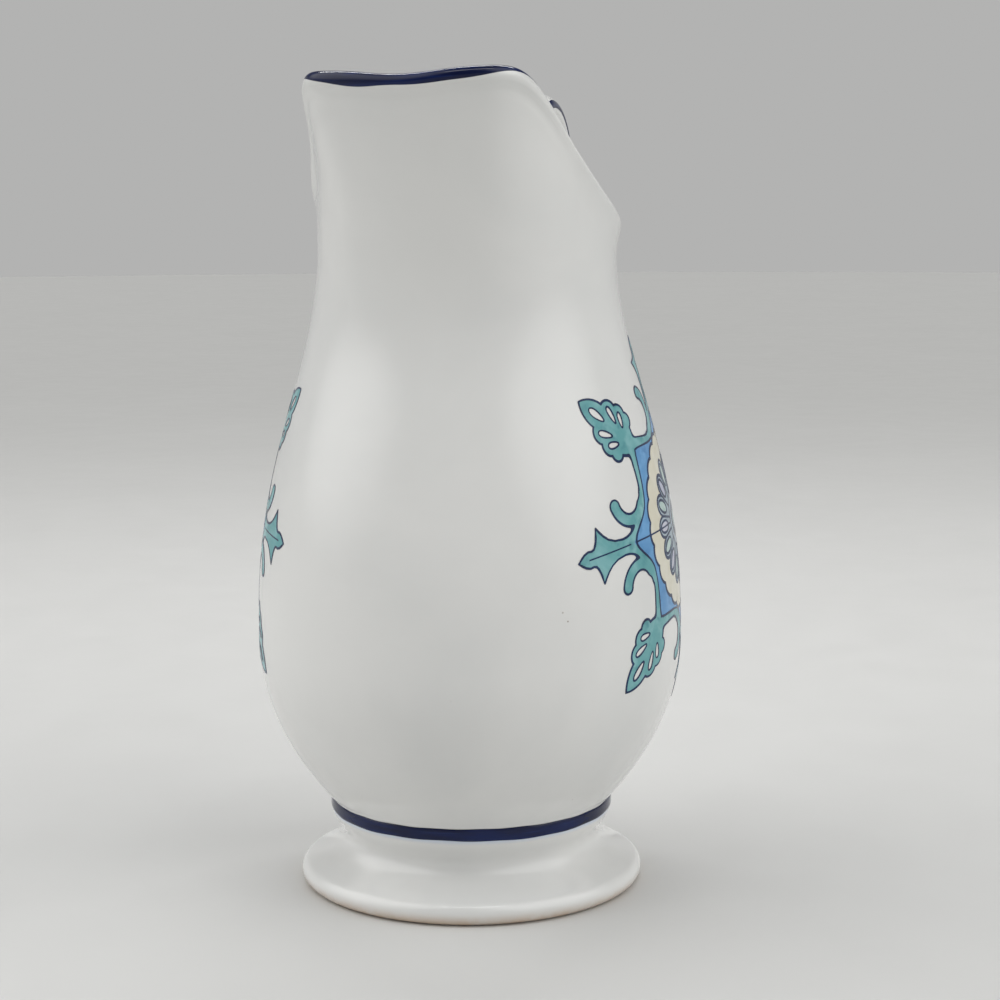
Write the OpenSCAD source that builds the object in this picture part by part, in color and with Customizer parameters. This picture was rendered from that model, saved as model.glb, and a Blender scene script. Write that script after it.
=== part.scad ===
// Ewer: a white glazed pottery jug with a high spout, a loop handle, a flared foot and painted decoration
// Units are millimetres, +Z is up, and the origin is the centre of the resting face under the foot
// The spout points along -Y, the handle along +Y, and the two sides mirror each other across x = 0

/* [Body] */
// Greatest diameter of the belly
belly_diameter = 159; // [153:1:165]
// Height of the widest part of the belly
belly_height = 94; // [90:1:98]
// Diameter of the narrowest part of the neck
neck_diameter = 110; // [106:1:114]
// Height of the narrowest part of the neck
neck_height = 238; // [234:1:242]
// Thickness of the clay wall
wall = 5; // [4:0.25:5.5]
// Thickness of the clay under the belly
floor_thickness = 7; // [6:0.5:9]

/* [Spout and rim] */
// Height of the spout's lip
spout_height = 301; // [296:1:306]
// How far the lip stands out in front of the neck
spout_reach = 23.5; // [21:0.5:26]
// Angle from the middle of the spout to each of its sides
spout_half_angle = 61; // [58:1:65]
// How far the rim falls from the lip to the sides
rim_drop = 57; // [54:1:60]
// How far the rim rises again at the handle
rim_back_rise = 7; // [4:1:10]
// Hollow in the middle of the lip
lip_dip = 3; // [2:0.5:4]
// How far the rim turns outward
rim_flare = 2.8; // [2.4:0.1:3.2]
// Thickness of the rounded rim
rim_thickness = 6; // [5.5:0.25:6.5]

/* [Foot] */
// Diameter of the foot's rounded edge
foot_diameter = 130; // [126:1:134]
// Thickness of the foot's rounded edge
foot_edge = 8.4; // [7.6:0.2:9]
// Diameter where the foot meets the body
waist_diameter = 106.4; // [103:0.2:110]
// Height of the joint between the foot and the body
joint_height = 30.5; // [29.5:0.5:32]
// Width of the ring where the foot is joined to the body
joint_width = 12.2; // [11:0.2:14]
// Diameter of the narrowest part of the foot
cove_diameter = 97; // [95:0.5:99]
// Thickness of the foot's wall
foot_wall = 6; // [5:0.25:7]

/* [Handle] */
// Width of the strap
strap_width = 23; // [21:0.5:25]
// Thickness of the strap
strap_thickness = 9.5; // [8.5:0.25:10.5]
// Height of the strap's centre line at its top
handle_top = 293; // [289:1:297]
// Distance from the axis to the strap's centre line at its top
handle_top_reach = 85; // [82:1:88]
// Distance from the axis to the strap's centre line at its widest
handle_reach = 116; // [112:1:120]
// Height of the widest part of the loop
handle_reach_height = 262; // [256:1:268]
// Height of the lower end of the handle
handle_low = 152; // [148:1:156]

/* [Joints and decoration] */
// Thickness of the layer of slip in each joint
slip = 0.6; // [0.4:0.1:1]
// Thickness of the fired lines and enamels
enamel = 0.4; // [0.3:0.05:0.5]
// Width of the cobalt band over the joint of the foot
band_width = 4.5; // [4:0.25:5]
// Gap between the enamels and the wall they lie on, which keeps curved faces apart
enamel_gap = 0.05; // [0.02:0.01:0.1]
// Height of the middle of the medallions
medallion_height = 139; // [136:1:141]
// Distance from the middle of a medallion to the tips of its leaves
medallion_radius = 73; // [68:1:74]
// Wall that a medallion's upper half needs between the medallion's middle and the low rim
medallion_wall = 105; // [95:1:105]
// Radius to which a medallion's level line bends on the sloping belly
medallion_bend = 345; // [300:5:500]
// Angle from the spout to the middle of each medallion
medallion_angle = 98; // [95:1:102]

/* [Hidden] */
// Segments round the body, which is a faceted loft
segments = 64;
belly_radius = belly_diameter / 2;
neck_radius = neck_diameter / 2;
waist_radius = waist_diameter / 2;
joint_hole = waist_radius - joint_width;
cove_radius = cove_diameter / 2;
foot_radius = foot_diameter / 2;
rim_low = spout_height - rim_drop;
seat = joint_height + slip / 2;
band_top = joint_height + band_width / 2;
band_low = joint_height - band_width / 2;
foot_top = joint_height - slip / 2;
inner_floor = seat + floor_thickness;
// Height at which the round belly ends and the spout begins to grow
split = 190;
spout_start = 195;
// Half of the angle over which the lip keeps its full reach
spout_flat = 22;
// Half the height of the pad of slip under the handle's lower end
pad_half = 11;
$fn = 96;

// Eases from 0 to 1 with level ends
function smooth(x) = let (c = min(1, max(0, x))) c * c * (3 - 2 * c);

// Radius of the round pear-shaped body at a height
function profile(z) =
    z <= belly_height
    ? waist_radius + (belly_radius - waist_radius)
        * (1 - pow(1 - max(0, z - band_top) / (belly_height - band_top), 2.1))
    : belly_radius - (belly_radius - neck_radius)
        * smooth(pow(min(1, (z - belly_height) / (neck_height - belly_height)), 1.3));

// Height of the top of the rim at an angle from the spout
function rim_height(a) =
    rim_low + rim_drop / (1 + pow(abs(a) / 61, 4.5)) - lip_dip * exp(-pow(a / 13, 2))
    + rim_back_rise * smooth((abs(a) - 110) / 70);

// Radius of the outer face at an angle and a height
function outer_radius(a, z) =
    profile(z)
    + spout_reach * pow(max(0, (z - spout_start) / (spout_height - spout_start)), 1.95)
        * smooth(1 - (abs(a) - spout_flat) / (spout_half_angle - spout_flat))
    + rim_flare * pow(max(0, 1 - (rim_height(a) - z) / 16), 2);

// The neck's centre stands a little forward of the belly's
function centre_y(z) = -2.3 * smooth((z - split) / 55);

// Outward lean of the outer face at an angle and a height, in degrees
function lean(a, z) = atan((outer_radius(a, z + 0.25) - outer_radius(a, z - 0.25)) / 0.5);

// A point at an angle from the spout, a radius and a height
function at(a, r, z) = [r * sin(a), centre_y(z) - r * cos(a), z];

// Height where the wall ends and the rounded rim begins
function rim_start(a) =
    let (z = rim_height(a) - rim_thickness / 2)
    rim_height(a) - rim_thickness / 2 * (1 + sin(lean(a, z - 1)));

// Angles round the body, with one on the spout and one on the handle
angles = [for (j = [0:segments - 1]) j * 360 / segments - 180];

// Heights of the level rings of the belly, with three under the handle's lower end
levels = concat(
    [seat, band_top],
    [for (f = [0.08, 0.19, 0.31, 0.44, 0.58, 0.72, 0.86, 1]) band_top + (belly_height - band_top) * f],
    [for (f = [0.25, 0.5, 0.75, 1]) belly_height + (handle_low - pad_half - belly_height) * f],
    [handle_low, handle_low + pad_half],
    [for (f = [0.5, 1]) handle_low + pad_half + (split - handle_low - pad_half) * f]
);
// Steps of the neck above the belly
steps = 10;

// One ring of the outer face: the level ones first, then those that follow the rim
function outer_ring(i) = [
    for (a = angles)
        let (z = i < len(levels)
            ? levels[i]
            : split + (rim_start(a) - split) * (i - len(levels) + 1) / steps)
        at(a, outer_radius(a, z), z)
];
outer_count = len(levels) + steps;

// One ring of the rounded rim, from the outer wall (0) over the top to the inner wall (1)
function rim_ring(k, grow) = [
    for (a = angles)
        let (
            z = rim_start(a),
            tilt = lean(a, z),
            half = rim_thickness / 2,
            middle_r = outer_radius(a, z) - half * cos(tilt),
            middle_z = z + half * sin(tilt),
            b = 180 * k - tilt
        )
        [
            (middle_r + (half + grow) * cos(b)) * sin(a),
            centre_y(z) - (middle_r + (half + grow) * cos(b)) * cos(a),
            middle_z + (half + grow) * sin(b)
        ]
];

// One ring of the inner face, set in from the outer face by the wall
function inner_ring(i) = [
    for (a = angles)
        let (
            k = (i - len(levels) + 1) / steps,
            z = i < len(levels) ? levels[i] : split + (rim_start(a) - split) * k,
            thick = wall + (rim_thickness - wall) * pow(max(0, k), 3),
            tilt = lean(a, z),
            r = outer_radius(a, z) - thick * cos(tilt)
        )
        [r * sin(a), centre_y(z) - r * cos(a), z + thick * sin(tilt)]
];
// The lowest ring of the inner wall, from which the bowl of the floor starts
first_inner = 4;
bowl_start = inner_ring(first_inner);
bowl_z = bowl_start[0][2];
function bowl_ring(b) = [
    for (p = bowl_start) [p[0] * cos(b), p[1] * cos(b), bowl_z - (bowl_z - inner_floor) * sin(b)]
];

body_rings = concat(
    [for (i = [0:outer_count - 1]) outer_ring(i)],
    [for (k = [1:5]) rim_ring(k / 6, 0)],
    [for (i = [outer_count - 1:-2:len(levels) - 1]) inner_ring(i)],
    [for (i = [len(levels) - 2:-1:first_inner]) inner_ring(i)],
    [for (b = [25, 50, 72]) bowl_ring(b)]
);

function flat_list(rows) = [for (row = rows) each row];

// Triangles of a grid of points, facing out or in
function grid_faces(rows, cols, closed, base, out) = [
    for (i = [0:rows - 2], j = [0:cols - (closed ? 1 : 2)])
        let (
            a = base + i * cols + j,
            b = base + i * cols + (j + 1) % cols,
            c = base + (i + 1) * cols + (j + 1) % cols,
            d = base + (i + 1) * cols + j
        )
        each (out ? [[a, c, b], [a, d, c]] : [[a, b, c], [a, c, d]])
];

// A thin solid between two grids of points that match
module slab(inner, outer, closed) {
    rows = len(inner);
    cols = len(inner[0]);
    n = rows * cols;
    last = (rows - 1) * cols;
    ends = [
        for (j = [0:cols - (closed ? 1 : 2)])
            let (k = (j + 1) % cols)
            each [
                [n + j, n + k, k], [n + j, k, j],
                [n + last + j, last + k, n + last + k], [n + last + j, last + j, last + k]
            ]
    ];
    sides = closed ? [] : [
        for (i = [0:rows - 2])
            let (a = i * cols, b = a + cols, c = a + cols - 1, d = b + cols - 1)
            each [
                [n + a, a, b], [n + a, b, n + b],
                [n + c, d, c], [n + c, n + d, d]
            ]
    ];
    polyhedron(
        points = concat(flat_list(inner), flat_list(outer)),
        faces = concat(
            grid_faces(rows, cols, closed, 0, false),
            grid_faces(rows, cols, closed, n, true),
            ends,
            sides
        ),
        convexity = 8
    );
}

// The rings and columns of the body that lie under the two ends of the handle
upper_rows = [for (i = [outer_count - 5:outer_count - 1]) outer_ring(i)];
lower_rows = [for (z = [handle_low - pad_half, handle_low, handle_low + pad_half])
    [for (a = angles) at(a, outer_radius(a, z), z)]];
// The columns count from the handle's side, because the angles start there
function back_columns(row, half) = [for (j = [-half:half]) row[(j + segments) % segments]];
upper_seat = [for (row = upper_rows) back_columns(row, 3)];
lower_seat = [for (row = lower_rows) back_columns(row, 3)];

// The flat face that each pad of slip gives to the handle: a direction and a distance along it
function chord_normal(seat_grid) =
    let (
        low = seat_grid[0][floor(len(seat_grid[0]) / 2)],
        high = seat_grid[len(seat_grid) - 1][floor(len(seat_grid[0]) / 2)],
        d = high - low
    )
    [0, d[2], -d[1]] / norm([0, d[2], -d[1]]);
upper_normal = chord_normal(upper_seat);
lower_normal = chord_normal(lower_seat);
upper_distance = max([for (p = flat_list(upper_seat)) p * upper_normal]) + slip;
lower_distance = max([for (p = flat_list(lower_seat)) p * lower_normal]) + slip;
function onto_plane(p, normal, distance) = p + normal * (distance - p * normal);

// The handle's centre line: three curves, from the neck over the top, round the outside and down to the belly
upper_end = onto_plane(upper_seat[2][3], upper_normal, upper_distance);
lower_end = onto_plane(lower_seat[1][3], lower_normal, lower_distance);
start_point = [upper_end[1], upper_end[2]];
top_point = [handle_top_reach, handle_top];
wide_point = [handle_reach, handle_reach_height];
end_point = [lower_end[1], lower_end[2]];
function bezier(p, t) =
    p[0] * pow(1 - t, 3) + p[1] * 3 * t * pow(1 - t, 2) + p[2] * 3 * t * t * (1 - t) + p[3] * pow(t, 3);
function bezier_way(p, t) =
    (p[1] - p[0]) * 3 * pow(1 - t, 2) + (p[2] - p[1]) * 6 * t * (1 - t) + (p[3] - p[2]) * 3 * t * t;
curves = [
    [start_point, start_point + [16, 9], top_point - [20, 1], top_point],
    [top_point, top_point + [19, 1], wide_point + [0, 16], wide_point],
    [wide_point, wide_point - [0, 46], end_point + [30, 20], end_point]
];
curve_steps = 11;
stations = [
    for (c = [0:2], i = [(c == 0 ? 0 : 1):curve_steps])
        let (t = i / curve_steps, p = bezier(curves[c], t), way = bezier_way(curves[c], t))
        [p, way / norm(way)]
];
station_count = len(stations);

// The strap's section, x along the width and y out from the loop: crowned outside and flatter inside
crown = strap_thickness * 0.64;
hollow = strap_thickness - crown;
half_strap = strap_width / 2;
under = [
    [half_strap - 0.8, -0.62 * hollow], [half_strap - 3, -0.94 * hollow],
    [half_strap / 3, -hollow], [0, -hollow],
    [-half_strap / 3, -hollow], [3 - half_strap, -0.94 * hollow], [0.8 - half_strap, -0.62 * hollow]
];
function section_point(j, grow) =
    j > 4 && j < 12
    ? under[j - 5]
    : let (b = 22.5 * (j < 5 ? j : j - 16), normal = [crown * sin(b), half_strap * cos(b)])
        [half_strap * sin(b), crown * cos(b)] + normal / norm(normal) * grow;

// How far a station's section leans so that the end of the strap lies flat on a pad, 1 at the end itself
end_steps = 6;
function start_share(i) = max(0, 1 - i / end_steps);
function end_share(i) = max(0, 1 - (station_count - 1 - i) / end_steps);

// A point of the strap at a station
function strap_point(i, j, grow) =
    let (
        p = stations[i][0],
        way = [0, stations[i][1][0], stations[i][1][1]],
        square = [0, -way[2], way[1]],
        shear = start_share(i) * (square * upper_normal) / (way * upper_normal)
            + end_share(i) * (square * lower_normal) / (way * lower_normal),
        f = i / (station_count - 1),
        widen = 1 + 0.14 * pow(abs(2 * f - 1), 6),
        s = section_point(j, grow)
    )
    [s[0] * widen, p[0], p[1]] + (square - way * shear) * s[1];
function strap_rows(columns, grow) = [
    for (i = [0:station_count - 1]) [for (j = columns) strap_point(i, j, grow)]
];

// Colours of the preview
clay = "#f1efe8";
cobalt = "#1d3f96";
teal = "#4f8f8d";
blue = "#6f93cf";
cream = "#e9dfb8";
navy = "#28356f";

// The hollow body: belly, neck and spout in one piece, with a rounded rim
module body() {
    rows = len(body_rings);
    n = rows * segments;
    points = concat(flat_list(body_rings), [[0, 0, seat], [0, 0, inner_floor]]);
    caps = [
        for (j = [0:segments - 1])
            let (k = (j + 1) % segments)
            each [[j, k, n], [n - segments + j, n + 1, n - segments + k]]
    ];
    color(clay) polyhedron(
        points = points,
        faces = concat(grid_faces(rows, segments, true, 0, true), caps),
        convexity = 10
    );
}

// Outline of the foot from the joint down to the table
function foot_outline() =
    let (
        edge = foot_edge / 2,
        waist_low = joint_height - 12,
        flare_end = foot_radius - edge,
        edge_start = [flare_end + edge * cos(72), edge + edge * sin(72)]
    )
    concat(
        [[waist_radius, foot_top]],
        [for (k = [0:0.125:1])
            [cove_radius + (waist_radius - cove_radius) * smooth(1 - k),
             band_low + (waist_low - band_low) * k]],
        [for (k = [0.125:0.125:1])
            [cove_radius + (edge_start[0] - cove_radius) * pow(k, 2.2),
             waist_low + (edge_start[1] - waist_low) * k]],
        [for (b = [54:-18:-72]) [flare_end + edge * cos(b), edge + edge * sin(b)]],
        [[flare_end, 0]]
    );

// The hollow pedestal foot
module foot() {
    color(clay) rotate_extrude() polygon(concat(
        foot_outline(),
        [
            [foot_radius - foot_edge / 2 - 7, 0],
            [foot_radius - foot_edge / 2 - 9.5, 2.5],
            [cove_radius - foot_wall + 4, joint_height - 18],
            [cove_radius - foot_wall, joint_height - 11],
            [joint_hole, foot_top]
        ]
    ));
}

// The ring of slip between the foot and the body
module foot_slip() {
    color(clay) translate([0, 0, foot_top]) linear_extrude(slip) difference() {
        circle(r = waist_radius - 0.3);
        circle(r = joint_hole);
    }
}

// The outline of the handle's cut end at a station, a little enlarged, as seen along the flat face of its pad
function end_outline(i, origin, normal) =
    let (
        across = [0, normal[2], -normal[1]],
        cut = [for (j = [0:15]) let (p = strap_point(i, j, 0)) [p[0], (p - origin) * across]],
        high = max([for (p = cut) p[1]]),
        low = min([for (p = cut) p[1]]),
        middle = (high + low) / 2
    )
    [for (p = cut) [p[0] * 1.1, middle + (p[1] - middle) * 1.2]];

// A pad of slip: it fits the wall on one side, and is flat where the handle's cut end sits on it
module pad(seat_grid, normal, distance, origin, i) {
    intersection() {
        slab(
            seat_grid,
            [for (row = seat_grid) [for (p = row) onto_plane(p, normal, distance)]],
            false
        );
        translate(origin) rotate([-acos(normal[2]), 0, 0]) translate([0, 0, -10]) linear_extrude(20)
            polygon(end_outline(i, origin, normal));
    }
}

// The pad of slip between the handle's upper end and the neck
module upper_slip() {
    color(clay) pad(upper_seat, upper_normal, upper_distance, upper_end, 0);
}

// The pad of slip between the handle's lower end and the belly
module lower_slip() {
    color(clay) pad(lower_seat, lower_normal, lower_distance, lower_end, station_count - 1);
}

// The loop handle, a strap with rounded edges
module handle() {
    rows = strap_rows([0:15], 0);
    n = len(rows) * 16;
    color(clay) polyhedron(
        points = flat_list(rows),
        faces = concat(
            grid_faces(len(rows), 16, true, 0, true),
            [[for (j = [0:15]) j], [for (j = [15:-1:0]) n - 16 + j]]
        ),
        convexity = 8
    );
}

// The cobalt line along the rim
module rim_line() {
    color(cobalt) slab(
        [for (k = [1:5]) rim_ring(k / 6, 0)],
        [for (k = [1:5]) rim_ring(k / 6, enamel)],
        true
    );
}

// The cobalt band over the joint of the foot
module waist_line() {
    color(cobalt) translate([0, 0, band_low]) linear_extrude(band_width) difference() {
        circle(r = waist_radius + enamel);
        circle(r = waist_radius + enamel_gap);
    }
}

// A cobalt line along one edge of the strap
module handle_line(columns) {
    color(cobalt) slab(strap_rows(columns, 0), strap_rows(columns, enamel), false);
}
module handle_line_right() { handle_line([3:4]); }
module handle_line_left() { handle_line([12:13]); }

// A thin skin over the round belly, from which the medallions are cut
module enamel_skin() {
    heights = concat(
        [for (z = levels) if (z > band_top + 10) z],
        [for (z = [split + 8:8:medallion_height + medallion_radius * upper_share + 4]) z]
    );
    rotate_extrude() polygon(concat(
        [for (z = heights) [profile(z) + enamel_gap, z]],
        [for (i = [len(heights) - 1:-1:0]) [profile(heights[i]) + enamel_gap + enamel, heights[i]]]
    ));
}

// A flat design laid on one side of the belly
module on_belly(side) {
    intersection() {
        enamel_skin();
        translate([0, 0, medallion_height]) rotate([0, 0, side * medallion_angle]) rotate([90, 0, 0])
            linear_extrude(belly_radius + 10) mirror([side > 0 ? 0 : 1, 0]) children();
    }
}

// The upper half of a medallion is drawn lower where the wall above its middle is lower than it needs
upper_share = min(1, (rim_low - medallion_height) / medallion_wall);
// A point of the flat design, laid on the belly as a print is: level lines bend because the belly slopes
function wrapped(p) =
    let (
        reach = norm([p[0], medallion_bend - p[1]]),
        turn = atan2(p[0], medallion_bend - p[1]),
        flat_rise = 0.98 * (medallion_bend - reach),
        rise = flat_rise > 0 ? flat_rise * upper_share : flat_rise,
        r = profile(medallion_height + rise)
    )
    [r * sin(turn * reach / r), rise];
function polar(r, a) = [r * cos(a), r * sin(a)];
function lobed(radius, depth, lobes) = [
    for (a = [0:5:355]) wrapped(polar(radius + depth * cos(lobes * a), a))
];

// Sizes of the design as shares of its radius
flower_radius = medallion_radius * 0.33;
ring_radius = medallion_radius * 0.45;
star_low = medallion_radius * 0.48;
star_axis = medallion_radius * 0.59;
star_corner = medallion_radius * 0.64;
stem_width = medallion_radius * 0.05;
line_gap = 0.3;
leaf_start = line_gap + stem_width / 3;

// Edge of the blue star: points on the axes and on the diagonals, with hollow sides between them
function star_edge(a) =
    let (f = abs((a + 45) % 90 - 45))
    star_low + (f < 21
        ? (star_axis - star_low) * pow(1 - f / 21, 1.8)
        : (star_corner - star_low) * pow((f - 21) / 24, 1.8));
function star(grow) = [for (a = [0:3:357]) wrapped(polar(star_edge(a) + grow, a))];

// Half outlines of the leaves: shares of the length along the leaf and across it
three_lobed_leaf = [
    [0, 0.12], [0.18, 0.1], [0.36, 0.12], [0.46, 0.17], [0.55, 0.25], [0.63, 0.33], [0.66, 0.2], [0.7, 0.14],
    [0.82, 0.115], [0.92, 0.07], [1, 0.01]
];
palmette = [
    [0, 0.22], [0.07, 0.35], [0.15, 0.37], [0.22, 0.33], [0.29, 0.35], [0.37, 0.32], [0.43, 0.26],
    [0.52, 0.27], [0.6, 0.25], [0.66, 0.19], [0.74, 0.18], [0.84, 0.13], [0.94, 0.06], [1, 0.01]
];
function leaf(turn, from, to, edge) =
    let (
        up = [for (p = edge) [from + (to - from) * p[0], (to - from) * p[1]]],
        place = function (p)
            wrapped([p[0] * cos(turn) - p[1] * sin(turn), p[0] * sin(turn) + p[1] * cos(turn)])
    )
    concat(
        [for (p = up) place(p)],
        [for (i = [len(up) - 1:-1:0]) place([up[i][0], -up[i][1]])]
    );

// A curl that leaves the stem beside an axis and ends on the outside
function curl(turn, side) =
    let (
        middle_turn = turn + side * 20,
        middle = polar(medallion_radius * 0.64, middle_turn),
        inward = -polar(1, middle_turn),
        towards = side * [sin(middle_turn), -cos(middle_turn)],
        radius = medallion_radius * 0.1
    )
    [
        for (k = [1, -1], i = [0:9])
            let (b = k > 0 ? 17 * i : 17 * (9 - i), r = radius + k * stem_width * 0.52)
            wrapped(middle + (inward * cos(b) + towards * sin(b)) * r)
    ];

module flower(side) {
    color(navy) on_belly(side) polygon(lobed(flower_radius - 1.2, 1.2, 16));
}
module ring(side) {
    color(cream) on_belly(side) difference() {
        polygon(lobed(ring_radius - 0.7, 0.7, 24));
        polygon(lobed(flower_radius - 1.2 + line_gap, 1.2, 16));
    }
}
module ground(side) {
    color(blue) on_belly(side) difference() {
        polygon(star(0));
        polygon(lobed(ring_radius - 0.7 + line_gap, 0.7, 24));
    }
}
module leaves(side) {
    color(teal) on_belly(side) {
        difference() {
            polygon(star(line_gap + stem_width));
            polygon(star(line_gap));
        }
        for (i = [0:3]) {
            polygon(leaf(90 * i, star_axis + leaf_start, medallion_radius * 0.99, three_lobed_leaf));
            polygon(leaf(90 * i + 45, star_corner + leaf_start, medallion_radius, palmette));
            polygon(curl(90 * i, 1));
            polygon(curl(90 * i, -1));
        }
    }
}
module flower_left() { flower(-1); }
module flower_right() { flower(1); }
module ring_left() { ring(-1); }
module ring_right() { ring(1); }
module ground_left() { ground(-1); }
module ground_right() { ground(1); }
module leaves_left() { leaves(-1); }
module leaves_right() { leaves(1); }

body();
foot();
handle();
foot_slip();
upper_slip();
lower_slip();
rim_line();
waist_line();
handle_line_left();
handle_line_right();
leaves_left();
leaves_right();
ground_left();
ground_right();
ring_left();
ring_right();
flower_left();
flower_right();
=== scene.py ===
"""Ewer of glazed pottery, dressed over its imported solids.

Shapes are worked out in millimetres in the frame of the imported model: +Z is up, the spout points along -Y and
the handle along +Y. Angles round the body are in degrees from the spout, positive towards +X.
"""
import logging
import math
from dataclasses import dataclass, field
from enum import Enum, IntEnum
from functools import reduce
from typing import Sequence

import bmesh
import bpy
import numpy as np
from mathutils import Matrix, Vector


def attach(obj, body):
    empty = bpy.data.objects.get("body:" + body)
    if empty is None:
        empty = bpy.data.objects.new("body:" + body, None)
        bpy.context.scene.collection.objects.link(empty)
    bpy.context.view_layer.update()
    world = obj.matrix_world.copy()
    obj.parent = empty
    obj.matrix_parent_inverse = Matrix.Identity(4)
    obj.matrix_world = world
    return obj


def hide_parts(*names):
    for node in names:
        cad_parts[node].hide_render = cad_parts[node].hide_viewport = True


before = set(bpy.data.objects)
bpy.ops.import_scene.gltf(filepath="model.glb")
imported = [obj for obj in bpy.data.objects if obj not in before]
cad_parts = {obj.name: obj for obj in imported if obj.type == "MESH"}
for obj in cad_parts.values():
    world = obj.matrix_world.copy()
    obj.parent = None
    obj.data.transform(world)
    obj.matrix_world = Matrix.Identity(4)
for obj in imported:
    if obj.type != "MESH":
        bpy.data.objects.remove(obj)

MM = 0.001
ROOT = "root"
LOG = logging.getLogger("ewer")
SHARP_ANGLE = math.radians(50)
COAT_ROUGHNESS = 0.03
REFRACTIVE_INDEX = 1.5

# Value of a shape's field, in millimetres, well outside the shape
FAR_OUTSIDE = 9.0

# Colour sockets of the Mix node, which share their names with its other sockets
MIX_FIRST, MIX_SECOND, MIX_RESULT = 6, 7, 2

Colour = tuple[float, float, float]


class Slot(Enum):
    """Material slots of the record."""

    GLAZE = "glaze"
    SLIP = "slip"
    COBALT = "cobalt"
    TEAL = "teal_enamel"
    BLUE = "blue_enamel"
    CREAM = "cream_enamel"
    NAVY = "navy_enamel"


class Side(Enum):
    """The two sides of the ewer; the value is the sign of x."""

    LEFT = -1
    RIGHT = 1

    @property
    def label(self) -> str:
        """Lower-case name for pieces and nodes."""
        return self.name.lower()


class FlowerFinish(IntEnum):
    """Place of each enamel in the flower's list of materials."""

    PETAL = 0
    GREEN = 1
    NAVY = 2
    LILAC = 3


def ease(x: np.ndarray) -> np.ndarray:
    """Ease from 0 to 1 with level ends.

    Args:
        x: Any values; those outside 0 to 1 are held at the ends.

    Returns:
        The eased values.
    """
    c = np.clip(x, 0.0, 1.0)
    return c * c * (3.0 - 2.0 * c)


def hump(x: np.ndarray, width: float) -> np.ndarray:
    """Give a smooth hump that is 1 at 0 and fades over a width."""
    return np.exp(-(x / width) ** 2)


def tremble(edge: np.ndarray | float, t: np.ndarray, *waves: tuple[float, int, float]) -> np.ndarray:
    """Make an edge uneven, as a brush leaves it.

    Args:
        edge: Places of the even edge.
        t: Angles round the body, in radians.
        waves: Height, number round the body and starting angle of each wave.

    Returns:
        Places of the uneven edge.
    """
    for size, number, start in waves:
        edge = edge + size * np.sin(number * t + start)
    return edge


def paint_edge(k: float, steep: float = 8.0, start: float = 0.25) -> float:
    """Work out how a painted line thins towards its edges.

    Args:
        k: Place across the line, from 0 to 1.
        steep: How fast the paint thickens from an edge.
        start: Thickness at the edge itself.

    Returns:
        Share of the full thickness.
    """
    return min(1.0, steep * min(k, 1.0 - k) + start)


def ring_points(r: np.ndarray | float, t: np.ndarray, z: np.ndarray) -> np.ndarray:
    """Place points on a ring round the upright axis.

    Args:
        r: Radius.
        t: Angles from the spout, in radians.
        z: Heights.

    Returns:
        The points.
    """
    return np.stack([r * np.sin(t), -r * np.cos(t), z], -1)


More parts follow.
